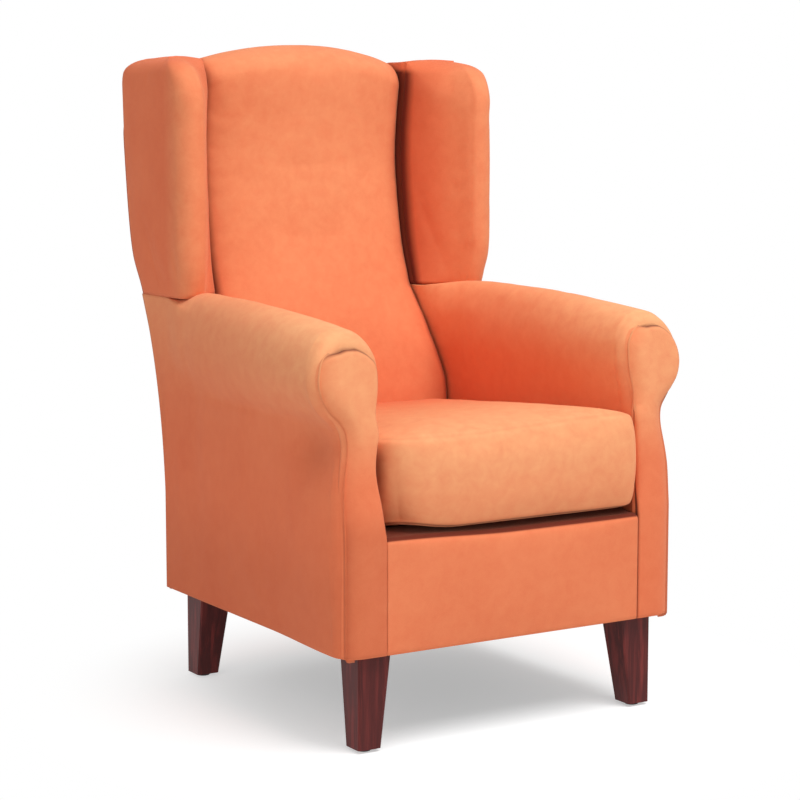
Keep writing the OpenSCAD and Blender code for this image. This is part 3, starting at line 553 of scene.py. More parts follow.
timberLook = {
    "across": 34, "along": 2.2, "shift": (0.31, 0.17, 0.53), "rings": 16, "dark": rgb(178, 132, 84),
    "light": rgb(216, 176, 124), "pore": (0.55, 0.42, 0.3, 1), "rough": 0.58, "depth": 0.0002, "coat": {},
}
legLook = {
    "across": 60, "along": 4, "shift": (0.4, 0.2, 0.1), "rings": 12, "dark": rgb(70, 21, 20),
    "light": rgb(124, 47, 43), "pore": (0.45, 0.35, 0.35, 1), "rough": 0.42, "depth": 0.00008,
    "coat": {"Coat Weight": 0.08, "Coat Roughness": 0.3, "Specular IOR Level": 0.22},
}


def metalMaterial(name, m):  # smooth plastic too
    material, tree, place = newMaterial(name)
    drawn = noiseAt(tree, place, 260, 3, 0.6)
    patches = noiseAt(tree, place, 22, 3)
    shade = spread(tree, patches * 0.6 + drawn * 0.4, 0.35, 0.65)
    colour = colourMix(tree, "MIX", shade, m["dark"], m["light"])
    return finishMaterial(
        material, tree, colour, drawn * 0.2 + m["rough"], drawn, 0.00006, {"Metallic": m["metal"]})


wireLook = {"dark": rgb(120, 120, 124), "light": rgb(165, 165, 168), "rough": 0.28, "metal": 1.0}
zincLook = {"dark": rgb(180, 182, 186), "light": rgb(214, 216, 218), "rough": 0.24, "metal": 1.0}
glideLook = {"dark": rgb(22, 22, 23), "light": rgb(34, 34, 35), "rough": 0.42, "metal": 0.0}
zipLook = {"dark": rgb(120, 62, 40), "light": rgb(150, 84, 56), "rough": 0.35, "metal": 0.0}

materials = {
    "cover": clothMaterial("coverCloth", coverLook), "deck": clothMaterial("deckCloth", deckLook),
    "dust": clothMaterial("dustClothBlack", dustLook), "foam": plainClothMaterial("foam", foamLook),
    "webbing": plainClothMaterial("webbingWeave", webbingLook),
    "thread": plainClothMaterial("sewingThread", threadLook),
    "woodX": woodMaterial("timberAcross", timberLook, "x"), "woodY": woodMaterial("timberDeep", timberLook, "y"),
    "woodZ": woodMaterial("timberTall", timberLook, "z"), "leg": woodMaterial("legMahogany", legLook, "z"),
    "wire": metalMaterial("springWire", wireLook), "zinc": metalMaterial("zincPlate", zincLook),
    "glide": metalMaterial("glidePlastic", glideLook), "zip": metalMaterial("zipTeeth", zipLook),
}

# arms
arm = {
    "scrollHalf": 346, "scrollRear": 14, "lip": 10, "roundDepth": 24, "sweep": 92, "panelSwell": 3.5,
    "seamSet": 11, "seamRise": 30, "topSet": 8, "topRamp": (580, 70), "gap": 11, "gapHump": (432, 50),
    "gapShadeRamp": (485, -25), "cornerRound": 38, "softRamp": (430, 120), "creaseShadeRamp": (520, 60), "scrollSeamShade": 0.66,
    "turnIn": [(-2.2, 5.0), (-3.2, 2.6), (-2.6, 1.0), (-1.2, 0.2)], "endAngles": (80, 4, 9),
    "runRows": 84, "turnRows": 15, "rearRows": 12, "plainShare": 0.12, "plainFrom": 40,
    "flare": 8, "flareLong": (-60, -200), "flareTall": (-8, -90),
    "hollow": 8, "hollowLong": (-215, 60), "hollowTall": (458, 46), "lowShadeRamp": (390, -170),
    "inner": [
        (0, 0, 0), (0, 0.22, 0.4), (0, 0.42, 0.9), (0, 0.58, 1), (0, 0.73, 0.8),
        (0.04, 0.86, 0.2), (0.14, 0.94, 0), (0.26, 0.985, 0), (0.4, 1, 0),
    ],
    "outer": [
        (0.58, 0), (0.68, 0.09), (0.83, 0.2), (0.95, 0.34), (1, 0.5),
        (0.97, 0.66), (0.88, 0.82), (0.72, 0.94), (0.54, 0.995),
    ],
    "plainIn": [0, 0.2, 0.38, 0.54, 0.68, 0.8, 0.89, 0.95, 1],
    "plainOut": [0, 0.16, 0.33, 0.5, 0.68, 0.86, 1, 1, 1],
    "plainStep": [0, 0, 0, 0, 0, 0, 0, 0.33, 0.66],
    "held": {"edge": 1, "end": 0.85, "turn": 0.8, "rear": 0.6}, "heldRows": 10, "wall": 0.005, "cap": 0.004,
    "creaseShade": {"edge": 1, "end": 0.12, "turn": 0.05}, "rubAndHighlight": (0.75, 1.35), "rubHighlightLong": 380, "rubHighlightWide": 31,
}
armFoot = [(chair["seatHalf"], z) for z in (chair["deck"] - 14, 400)]
armSide = [(chair["halfWidth"], z) for z in (430, 345, 250, chair["hem"])]
armSteps = [12, 13] + [5] * 8 + [3] + [5] * 8 + [9, 13, 14, 15]
armPlaces = np.cumsum([0] + armSteps)  # where the control points are on the finished ring


def armControls(top, flare):
    outHalf = mixed(chair["halfWidth"] + arm["scrollRear"], arm["scrollHalf"], flare)
    low, half, seat = chair["neck"], chair["halfWidth"], chair["seatHalf"]
    inside = [(mixed(seat, outHalf, a) - arm["lip"] * c, mixed(low, top, b)) for a, b, c in arm["inner"]]
    outside = [(half, low)]
    for i, (a, b) in enumerate(arm["outer"][1:], 1):
        x = mixed(seat, outHalf, a)
        outside.append((mixed(max(x, half), x, i / 9), mixed(low, top, b)))
    return armFoot + inside + outside[::-1] + armSide


def plainControls():
    low, top = chair["neck"], chair["wingSeat"] - 0.4
    inside = [(mixed(chair["seatHalf"], chair["backHalf"], s), mixed(low, top, s)) for s in arm["plainIn"]]
    outside = [
        (mixed(chair["halfWidth"], chair["backHalf"], s), mixed(low, top, r))
        for s, r in zip(arm["plainStep"], arm["plainOut"])
    ]
    return armFoot + inside + outside[::-1] + armSide


def frontRing():  # the arm's outline at the front, before the seam draws it in
    return splinePath(armControls(chair["armTop"] - chair["armDrop"], 1), armSteps)


def ringNormals(ring):
    t = np.gradient(ring, axis=0)
    t /= np.maximum(np.linalg.norm(t, axis=1, keepdims=True), 1e-9)
    return np.stack([-t[:, 1], t[:, 0]], 1)


def between(ring, first, last):  # 0 before one control point of the ring, 1 past another
    return eased((np.arange(len(ring)) - armPlaces[first]) / (armPlaces[last] - armPlaces[first]))


def past(count, control):
    return np.arange(count) > armPlaces[control]


def before(count, control):
    return np.arange(count) < armPlaces[control]


def softShare(ring, side):  # 0 where the facing has a drawn-in seam, 1 where its corner is a soft round
    if side < 0:
        return between(ring, 12, 14)
    inner = (1 - between(ring, 7, 9)) * ramp(ring[:, 1], *arm["softRamp"])
    return np.where(before(len(ring), 10), inner, between(ring, 16, 19))


def cornerInset(back):  # the soft corner's outline, at a depth behind the front
    return dropIn(arm["cornerRound"], arm["cornerRound"] - back)


def frontFlare(y, z):  # below their scrolls the arms stand out a little at the front
    drop, tall = arm["flareTall"]
    return arm["flare"] * ramp(y, *arm["flareLong"]) * ramp(z, chair["neck"] + drop, tall)


def drawnIn(ring, side):  # how far inside the arm's outline the facing's seam lies
    z, top = ring[:, 1], arm["topSet"] * (1 if side > 0 else 2)
    inset = arm["seamSet"] * np.clip((z - chair["neck"]) / arm["seamRise"], 0, 1) + top * ramp(z, *arm["topRamp"])
    if side < 0:  # its inner corner leaves a gap beside the cushion
        inset = inset + arm["gap"] * hump(z, *arm["gapHump"]) * before(len(ring), 5)
    return inset


def seamInset(ring, side):
    return mixed(drawnIn(ring, side), cornerInset(seamY - chair["frontY"]), softShare(ring, side))


def seamShadeShare(ring, side):  # how much painted shade darkens the seam, which also sets how deep it is drawn in: most at the inner side of the scroll, fading downwards
    z, soft = ring[:, 1], softShare(ring, side)
    scroll = ramp(z, *arm["creaseShadeRamp"])
    inner = mixed(0.12, 1, scroll) * (1 - 0.9 * soft)
    if side < 0:
        inner = np.maximum(mixed(0.3, 1, scroll), ramp(z, *arm["gapShadeRamp"]))
    over = mixed(1, arm["scrollSeamShade"], between(ring, 8, 10))
    return np.where(before(len(ring), 10), inner, 1 - 0.97 * soft) * over


def armRows(side):
    plain, front = linePath(plainControls(), armSteps), frontRing()
    run, rows, marks = noseY - seamY, [], []

    def add(y, ring, mark, inset=0):
        lean = leanAt(ring[:, 1]) * np.clip(y / chair["frontY"], 0, 1)
        q = ring - ringNormals(ring) * np.broadcast_to(inset, len(ring))[:, None]
        rows.append(np.stack([q[:, 0], y + lean, q[:, 1]], 1))
        marks.append(mark)

    seam, creaseShade, soft = drawnIn(front, side), seamShadeShare(front, side), softShare(front, side)
    ahead = seamY - chair["frontY"]
    for forward, more in arm["turnIn"]:  # the edge turns in at the seam
        corner = cornerInset(ahead + forward) + 0.5 + more * 0.2
        add(seamY + forward, front, "edge", mixed(seam + more * creaseShade, corner, soft))
    for a in np.radians(np.linspace(*arm["endAngles"])):  # the end of the scroll is rounded
        back = arm["roundDepth"] * (1 - math.sin(a))
        corner = cornerInset(ahead + back) + 0.5 * ramp(back, 9, -4)  # here the facing's edge lies over it
        add(seamY + back, front, "end", mixed(seam * (1 - math.cos(a)), corner, soft))
    for s in np.linspace(arm["roundDepth"] / run, 1, arm["runRows"]):
        top = chair["armTop"] - chair["armDrop"] * (1 - s) ** 2
        scroll = splinePath(armControls(top, 1 - s ** 1.5), armSteps)
        share = arm["plainShare"] * ramp(run * (1 - s), arm["plainFrom"], -arm["plainFrom"])
        add(seamY + run * s, mixed(scroll, plain, share), "run")
    last = splinePath(armControls(chair["armTop"], 0), armSteps)
    for s in np.linspace(0, 1, arm["turnRows"])[1:]:
        ring = mixed(last, plain, mixed(arm["plainShare"], 1, eased(s * 0.9 + 0.1 * s * s)))
        add(noseY + arm["sweep"] * s, ring, "turn")
    first = noseY + arm["sweep"]
    rear = mixed(rearAt(plain[:, 1]) - 43.6, backAt(plain[:, 1]) - 2.4, between(plain, 10, 13))
    for s in np.linspace(0, 1, arm["rearRows"])[1:]:
        rows.append(np.stack([plain[:, 0], mixed(first, np.maximum(rear, first + 6), s), plain[:, 1]], 1))
        marks.append("rear")
    return np.array(rows), marks


def byMark(marks, values):  # one number for each row, from its mark
    return np.array([[values.get(m, 0.0)] for m in marks])


def makeArm(side, word):
    rows, marks = armRows(side)
    count, y, z = rows.shape[1], rows[:, :, 1], rows[:, :, 2]
    along = np.clip((y - seamY) / 70, 0, 1) * np.clip((backAt(z) - 2.4 - y) / 60, 0, 1)
    low = (z - chair["hem"]) / (chair["neck"] - 30 - chair["hem"])
    hollow = hump(z, *arm["hollowTall"]) * hump(y, *arm["hollowLong"])
    rows[:, :, 0] += past(count, 19) * arm["panelSwell"] * bell(low) ** 0.7 * along  # the side panel swells a little
    rows[:, :, 0] += past(count, 18) * frontFlare(y, z) - past(count, 17) * arm["hollow"] * hollow
    wrap = [rows[:, -1:] + np.array([-dx, 0, -dz]) for dx, dz in hemTurn(14)]
    wrap[-1][:, :, 0] = chair["halfWidth"] - 17
    grid = np.concatenate([rows] + wrap, 1)
    piece = gridPiece("armCover" + word, grid, side)
    cols = np.arange(grid.shape[1])
    held = np.zeros(grid.shape[:2]) + byMark(marks, arm["held"])
    runRows = [i for i, m in enumerate(marks) if m == "run"]
    for k, i in enumerate(runRows[::-1]):
        held[i] = np.maximum(held[i], 0.85 * (1 - eased(k / arm["heldRows"])))
    held[:, (cols < 4) | (cols >= armPlaces[-1] - 3)] = 1
    held[-1] = 1
    plump(piece, held.ravel(), arm["cap"], pressure=3)
    waver(piece, held.ravel(), 0.0011, 9, 3 + side)
    # wear and painted highlight, strongest on the scroll top towards the front
    wornAndLit = mixed(*arm["rubAndHighlight"], ramp(grid[:, :, 1], seamY + arm["rubHighlightLong"], -arm["rubHighlightLong"]))
    addValue(piece, "rubAndHighlight", (wornAndLit * hump(cols, armPlaces[10], arm["rubHighlightWide"])).ravel())
    # painted shade: dark seam lines, fainter on the turns and hem, plus shade in the hollow under the scroll and low
    # on the outer side
    creaseShade = np.zeros(grid.shape[:2]) + byMark(marks, arm["creaseShade"])
    creaseShade[:, :count] *= seamShadeShare(rows[0][:, [0, 2]], side)
    creaseShade[:, count:] *= 0.1
    creaseShade[:, :count] += past(count, 17) * (0.3 * hollow + 0.26 * ramp(z, *arm["lowShadeRamp"]))
    addValue(piece, "paintedShade", creaseShade.ravel())
    thicken(piece, arm["wall"])
    nodes = [kind + word.lower() for kind in ("arm_pad_", "outside_arm_")]
    dress(piece, "chair", "cover_fabric", nodes)


for side, word in sides:
    makeArm(side, word)

# facings on the fronts of the arms
facing = {
    "columns": 26, "lowRows": 56, "edge": 8, "depth": 7.5, "lowDepth": (2.4, 0.96), "depthRamp": (320, 50),
    "swell": 2.5, "swellTall": 480, "rims": ((0.5, 0.45, 16), (1.8, 0.8, 18.5), (3.6, 1.0, 21)), "rimSink": 0.45,
    "line": 4, "hemRamp": (328, 14), "rightLowShade": (325, -10), "leftLowShade": (395, -60), "wornLitRamp": (395, 130),
    "wall": 0.004, "cap": 0.002,
}


def facingRows(ring):  # the facing's inner and outer edge, from its hem to the top of the scroll
    lowZ = np.linspace(chair["hem"], chair["neck"], facing["lowRows"])
    innerLow, outerLow = ring[:armPlaces[2] + 1], ring[armPlaces[19]:][::-1]
    innerX = np.interp(lowZ, innerLow[:, 1], innerLow[:, 0]) + 0.2
    outerX = np.interp(lowZ, outerLow[:, 1], outerLow[:, 0])
    inner = np.vstack([np.stack([innerX, lowZ], 1), ring[armPlaces[2] + 1:armPlaces[10] + 1]])
    outer = np.vstack([np.stack([outerX, lowZ], 1), ring[armPlaces[11]:armPlaces[19]][::-1]])
    return inner, outer


def nearestEdge(q, loop):  # how far each point is from a line, and which part of the line is nearest
    a, ab = loop[:-1], loop[1:] - loop[:-1]
    share = np.clip(((q[:, None] - a) * ab).sum(2) / np.maximum((ab ** 2).sum(1), 1e-9), 0, 1)
    away = np.linalg.norm(q[:, None] - (a + ab * share[:, :, None]), axis=2)
    return away.min(1), away.argmin(1)


def facingPaintedShade(side, dist, edgeZ, z, softness):  # painted shade: the dark line at the seam
    inner = mixed(0.15, 1, ramp(edgeZ, *arm["creaseShadeRamp"]))
    if side > 0:
        inner = inner + 0.4 * ramp(edgeZ, *facing["rightLowShade"])
    else:
        inner = np.maximum(np.maximum(inner, 0.3), 0.9 * ramp(edgeZ, *arm["gapShadeRamp"]))
        inner = inner * ramp(edgeZ, *facing["hemRamp"])
    paintedShade = np.clip(1 - dist / facing["line"], 0, 1) * mixed(inner, 0.04, softness)
    if side > 0:
        return paintedShade
    corner = mixed(0.29, 0.44, softness * hump(dist, 1, 6))  # painted shade on the lower corner by the left leg, a little deeper near its soft edge
    return np.maximum(paintedShade, ramp(z, *facing["leftLowShade"]) * corner)


def makeFacing(side, word):
    ring = frontRing()
    soft, inset = softShare(ring, side), cornerInset(seamY - chair["frontY"])
    ring = ring - ringNormals(ring) * seamInset(ring, side)[:, None]
    ring[:, 0] += past(len(ring), 18) * frontFlare(chair["frontY"], ring[:, 1])
    inner, outer = facingRows(ring)
    rows, cols = len(inner), facing["columns"]
    outerSoft = soft[armPlaces[11]:armPlaces[19]]
    innerSoft = np.concatenate([np.zeros(facing["lowRows"]), soft[armPlaces[2] + 1:armPlaces[10] + 1]])
    softEdge = np.concatenate([innerSoft, outerSoft, np.ones(facing["lowRows"])])
    t = (1 - np.cos(np.linspace(0, np.pi, cols))) / 2
    q = (inner[:, None] * (1 - t)[None, :, None] + outer[:, None] * t[None, :, None]).reshape(-1, 2)
    edgeLoop = np.vstack([inner, outer[::-1]])
    dist, nearest = nearestEdge(q, edgeLoop)
    softness, edgeZ = softEdge[nearest], edgeLoop[nearest, 1]
    lowDepth = facing["lowDepth"][0 if side > 0 else 1]  # beside the border the seam is shallow
    deep = mixed(lowDepth, facing["depth"], ramp(edgeZ, *facing["depthRamp"]))
    softRound = dropIn(arm["cornerRound"], arm["cornerRound"] - inset - dist)
    back = mixed(edgeRoll(dist, facing["edge"], deep), softRound, softness)
    swell = np.tile(np.sin(np.pi * t), rows) * bell((q[:, 1] - chair["hem"]) / facing["swellTall"]) ** 0.5
    y = chair["frontY"] + back - facing["swell"] * swell + leanAt(q[:, 1]) * 0.97
    flat = np.stack([q[:, 0], y, q[:, 1]], 1)
    points = flat.reshape(rows, cols, 3)
    faces, uvs = gridFaces(rows, cols), gridUvs(points)
    loop = [i * cols for i in range(rows)] + [(rows - 1) * cols + j for j in range(1, cols)]
    loop += [i * cols + cols - 1 for i in range(rows - 2, -1, -1)]
    border = flat[loop]
    inward, lean = -ringNormals(border[:, [0, 2]]), leanAt(border[:, 2]) * 0.96
    loopSoft = np.concatenate([innerSoft, np.full(cols - 1, innerSoft[-1]), softEdge[rows + 1:]])
    rims, previous = [], loop
    for k, (tuck, backTo, lap) in enumerate(facing["rims"]):
        rim = border.copy()
        sink = mixed(tuck, cornerInset(lap) - inset + facing["rimSink"] * k, loopSoft)
        rim[:, [0, 2]] += inward * sink[:, None]
        seamAt = mixed(border[:, 1], seamY - 0.4 + lean, backTo)
        rim[:, 1] = mixed(seamAt, chair["frontY"] + lap + lean, loopSoft)
        rims.append(rim)
        fresh = [len(flat) + k * len(loop) + i for i in range(len(loop))]
        faces += [[previous[i], previous[i + 1], fresh[i + 1], fresh[i]] for i in range(len(loop) - 1)]
        previous = fresh
    previous, start = list(range(cols)), len(flat) + 3 * len(loop)
    for k, (dy, dz) in enumerate(hemTurn(20)):
        rims.append(flat[:cols] + np.array([0, dy, -dz]))
        fresh = [start + k * cols + i for i in range(cols)]
        faces += [[previous[i + 1], previous[i], fresh[i], fresh[i + 1]] for i in range(cols - 1)]
        previous = fresh
    points = np.vstack([flat] + rims)
    uvs += [[(points[v][0] * 0.001, points[v][2] * 0.001) for v in f] for f in faces[len(uvs):]]
    piece = makeMesh("armFacing" + word, points, faces, uvs, side)
    held = np.ones(len(points))
    held[:len(flat)] = 1 - np.clip((dist - 4) / 16, 0, 1)
    plump(piece, held, facing["cap"], pressure=3)
    hem = np.zeros(3 * cols)
    # painted shade on the seam line and on the rims that turn in under the seam
    addValue(piece, "paintedShade", np.concatenate(
        [facingPaintedShade(side, dist, edgeZ, q[:, 1], softness)] + [1 - loopSoft] * 3 + [hem]))
    # wear and painted highlight, more towards the top of the facing
    heights = np.concatenate([q[:, 1]] + [border[:, 2]] * 3 + [flat[:cols, 2]] * 3)
    edges = np.concatenate([softness * np.clip(1.4 - dist / 16, 0, 1)] + [loopSoft] * 3 + [hem])
    addValue(piece, "rubAndHighlight", mixed(0.1, 0.85, ramp(heights, *facing["wornLitRamp"])) * mixed(1, 0.7, edges))
    thicken(piece, facing["wall"])
    dress(piece, "chair", "cover_fabric", ["arm_facing_" + word.lower()])


for side, word in sides:
    makeFacing(side, word)

# front border and seat deck
border = {
    "round": 11, "depth": 76, "edge": 6, "edgeDepth": 2.6, "leftShare": 0.4, "swell": 3, "columns": 86,
    "spread": 0.86, "sag": (3, 9), "sagAcross": (-200, 200), "sagFront": (-90, 80), "sagRear": (20, 45),
    "lineWide": 4, "lineShade": (0.06, 0.4), "shadeUnderFrom": (0.8, 2), "rubAndHighlight": 0.22, "wall": 0.004, "cap": 0.002,
}
deck = {"rear": 268, "dip": 2.5, "edge": 5, "edgeDepth": 3, "columns": 60, "rows": 64, "wall": 0.005}


def makeBorder():
    b, front, top, r = border, chair["frontY"], chair["deck"], border["round"]
    half = chair["seatHalf"] - 0.3
    hem = [(front + dy, chair["hem"] - dz) for dy, dz in hemTurn(14)[::-1]]
    wall = [(front, z) for z in np.linspace(chair["hem"], top - r, 30)]
    turns = np.linspace(0, math.pi / 2, 10)[1:]
    bend = [(front + r * (1 - math.cos(a)), top - r * (1 - math.sin(a))) for a in turns]
    flange = [(y, top) for y in np.linspace(front + r, front + b["depth"], 12)[1:]]
    line = np.array(hem + wall + bend + flange)
    y, z = line.T
    x = half * widened(b["columns"], b["spread"])
    tall = bell((z - chair["hem"]) / (top - chair["hem"])) * (y < front + r)
    roll = edgeRoll(half - np.abs(x), b["edge"], b["edgeDepth"]) * np.where(x < 0, b["leftShare"], 1)
    out = b["swell"] * tall[:, None] * (1 - (x / half) ** 4)[None, :] - roll[None, :]
    grid = np.zeros((len(line), len(x), 3))
    grid[:, :, 0] = x[None, :]
    grid[:, :, 1:] = line[:, None] + ringNormals(line)[:, None] * out[:, :, None]
    sag = mixed(*b["sag"], ramp(x, *b["sagAcross"]))  # its top edge has sunk a little
    lower, rear = b["sagFront"], b["sagRear"]
    grid[:, :, 2] -= sag * (ramp(z, top + lower[0], lower[1]) * (1 - ramp(y, front + rear[0], rear[1])))[:, None]
    piece = gridPiece("frontBorder", grid)
    away = half - np.abs(grid[:, :, 0])
    held = np.clip(1 - away / 30, 0, 1)
    held[:5], held[-12:] = 1, 1
    plump(piece, held.ravel(), b["cap"], pressure=3)
    # painted shade: a dark line along both ends, deeper at the right end
    paintedShade = np.where(grid[:, :, 0] < 0, *b["lineShade"]) * np.clip(1 - away / b["lineWide"], 0, 1)
    shadeUnderCushion = ramp(y, front + b["shadeUnderFrom"][0], b["shadeUnderFrom"][1])  # painted shade where it lies under the cushion
    addValue(piece, "paintedShade", np.maximum(paintedShade, shadeUnderCushion[:, None]).ravel())
    # wear and painted highlight, even over the border
    addValue(piece, "rubAndHighlight", np.full(paintedShade.size, b["rubAndHighlight"]))
    thicken(piece, b["wall"])
    dress(piece, "chair", "cover_fabric", ["front_border", "front_edge_roll"])


def makeDeck():
    half, front = chair["seatHalf"] - 0.4, chair["frontY"] + border["depth"] + 0.3
    x, y = np.linspace(-half, half, deck["columns"]), np.linspace(front, deck["rear"], deck["rows"])
    roll = edgeRoll(np.minimum(half - np.abs(x)[None, :], (y - front)[:, None]), deck["edge"], deck["edgeDepth"])
    long = bell((y - front) / (deck["rear"] - front))
    grid = np.zeros((len(y), len(x), 3))
    grid[:, :, 0], grid[:, :, 1] = x[None, :], y[:, None]
    grid[:, :, 2] = chair["deck"] - 0.2 - roll - deck["dip"] * np.cos(np.pi / 2 * x / half)[None, :] * long[:, None]
    piece = gridPiece("seatDeck", grid)
    p = meshPoints(piece)
    p[:, 2] += np.minimum(0.0008 * ripple(p, 14, 7), 0.0002)
    setPoints(piece, p)
    thicken(piece, deck["wall"])
    dress(piece, "chair", "deck_fabric", ["seat_deck_pad"])


makeBorder()
makeDeck()

# wings
wing = {
    "thick": 52, "edge": 24, "corner": 75, "rearRound": 45, "sweep": 20, "sweepTall": 90, "turn": 14, "bow": 7,
    "flank": 12, "face": 34, "nose": 12, "rootEdge": (16, 9), "rearEdge": (9, 6), "outSwell": 1.5,
    "soften": 60, "behind": 2.4, "capSteps": 9, "capRise": 2.5, "tuck": (5, 0.8), "cap": 0.0025,
}


def wingPaths(z):  # the inner and the outer line of a wing at one height, from its rear to its nose
    w, up = wing, z - chair["wingTop"]
    inset, half = dropIn(w["edge"], up + w["edge"]), sideAt(z)
    whole, r, outX = 1 - inset / w["edge"], w["thick"] / 2 - inset, half - inset
    tip = noseY + w["sweep"] * max(0, 1 - (z - chair["wingSeat"]) / w["sweepTall"]) ** 2
    tip += dropIn(w["corner"], up + w["corner"])
    mid = np.array([half - w["thick"] / 2, tip + w["thick"] / 2])
    rear = backAt(z) - w["behind"] - dropIn(w["rearRound"], up + w["rearRound"]) - inset / 2
    root = np.array([chair["backHalf"] + inset * 0.12, min(tuckAt(z), rear - w["edge"])])
    turn = math.radians(w["turn"])
    start = mid + r * np.array([-math.cos(turn), math.sin(turn)])
    flankY = np.linspace(rear, root[1], w["flank"], endpoint=False)
    u = np.linspace(0, 1, w["face"], endpoint=False)
    faceX = mixed(root[0], start[0], u) - w["bow"] * 4 * u * (1 - u) * whole
    faceY = mixed(root[1], start[1], u)
    slope = edgeRoll(u * (root[1] - start[1]), *w["rootEdge"])

    def nose(first):
        a = np.linspace(first, 1.5 * math.pi, w["nose"] + 1)
        return mid + r * np.stack([np.cos(a), np.sin(a)], 1)

    flank = np.stack([np.full(w["flank"], root[0]), flankY], 1)
    inner = np.vstack([flank, np.stack([faceX + slope * 0.6, faceY + slope * 0.4], 1), nose(math.pi - turn)])
    first, last = w["flank"] + 3, len(inner) - 5
    for _ in range(w["soften"]):  # the inner face runs softly into the nose
        around = (inner[first - 1:last - 1] + inner[first + 1:last + 1]) * 0.25
        inner[first:last] = inner[first:last] * 0.5 + around
    outerY = np.concatenate([flankY, np.linspace(root[1], mid[1], w["face"], endpoint=False)])
    share = (outerY - mid[1]) / max(rear - mid[1], 1)
    outerX = outX + w["outSwell"] * bell(share) * whole - edgeRoll(rear - outerY, *w["rearEdge"])
    return inner, np.vstack([np.stack([outerX, outerY], 1), nose(2 * math.pi)])


def wingPaintedShade(x, z, bottom, top):  # painted shade at the root beside the back, and where the wing stands on the arm
    foot = np.clip(1 - (z - bottom) / 5, 0, 1) * mixed(0.6, 0.02, np.clip((x - 290) / 10, 0, 1))
    root = x - chair["backHalf"] - 1
    beside = np.clip(1 - root / 10, 0, 1) + 0.37 * np.clip(1 - root / 48, 0, 1)
    return np.clip(foot + beside * ramp(z, top - 8, -14), 0, 1)


def makeWing(side, word):
    bottom, top, edge, corner = chair["wingSeat"] + 0.3, chair["wingTop"], wing["edge"], wing["corner"]
    zs = np.concatenate([
        np.linspace(bottom, top - corner, 50)[:-1], np.linspace(top - corner, top - edge, 9)[:-1],
        top - edge + edge * np.sin(np.radians(np.linspace(0, 90, 14))),
    ])
    rows = []
    for z in zs:
        inner, outer = wingPaths(z)
        across = mixed(outer[0], inner[0], np.linspace(0, 1, 9)[1:-1, None])
        ring = np.vstack([inner, outer[-2::-1], across])
        rows.append(np.column_stack([ring, np.full(len(ring), z)]))
    rows = np.array(rows)
    pull = edgeRoll(rows[:, :, 2] - bottom, *wing["tuck"])  # the lower edge is tucked against the arm
    away = (rows - rows.mean(1, keepdims=True))[:, :, :2]
    rows[:, :, :2] -= pull[:, :, None] * away / np.linalg.norm(away, axis=2, keepdims=True)
    cols = rows.shape[1]
    points, faces, uvs = rows.reshape(-1, 3), gridFaces(len(zs), cols, True), gridUvs(rows, True)
    t, m = np.linspace(0, 1, wing["capSteps"]), (cols - 6) // 2
    for ring, up in ((rows[-1], True), (rows[0], False)):  # both ends are closed
        inner, outer = ring[:m], np.vstack([ring[m:2 * m - 1][::-1], ring[m - 1]])
        cap = mixed(inner[:, None], outer[:, None], t[None, :, None])
        if up:
            cap[:, :, 2] += wing["capRise"] * bell(t)[None, :] * eased(np.arange(m) / 8)[:, None]
        capFaces, capUvs = gridFaces(m, len(t), False, len(points)), gridUvs(cap)
        if up:
            capFaces, capUvs = [f[::-1] for f in capFaces], [f[::-1] for f in capUvs]
        points, faces, uvs = np.vstack([points, cap.reshape(-1, 3)]), faces + capFaces, uvs + capUvs
    piece = makeMesh("wingCover" + word, points, faces, uvs, side)
    mergeDoubles(piece)
    x, y, z = fromRow(meshPoints(piece)).T
    x = np.abs(x)
    held = np.maximum(1 - (z - bottom) / 25, 1 - (backAt(z) - 8 - y) / 20)
    held = np.clip(np.maximum(held, 1 - (x - chair["backHalf"] - 2) / 8), 0, 1)
    plump(piece, held, wing["cap"], pressure=5)
    waver(piece, held, 0.0008, 11, 21 + side)
    # wear and painted highlight on the nose and the front of the inner face
    nose = np.clip(1 - (y - noseY - wing["thick"] / 3) / 50, 0, 1)
    inside = eased(1 - (y - noseY) / 110) * ramp(x, 288, -20) * (1 - nose)
    addValue(piece, "paintedShade", wingPaintedShade(x, z, bottom, top))
    addValue(piece, "rubAndHighlight", nose * 0.45 + inside * 0.5)
    dress(piece, "chair", "cover_fabric", ["wing_pad_" + word.lower()])


for side, word in sides:
    makeWing(side, word)

# inside back
back = {
    "columns": 74, "spread": 0.8, "flaps": 7, "flapDepth": 42, "sideRound": 20, "sideDepth": 15, "rows": 116,
    "top": 18, "rubAndHighlight": (0.42, 0.2), "rubHighlightHump": (880, 160), "wall": 0.006, "cap": 0.006,
}


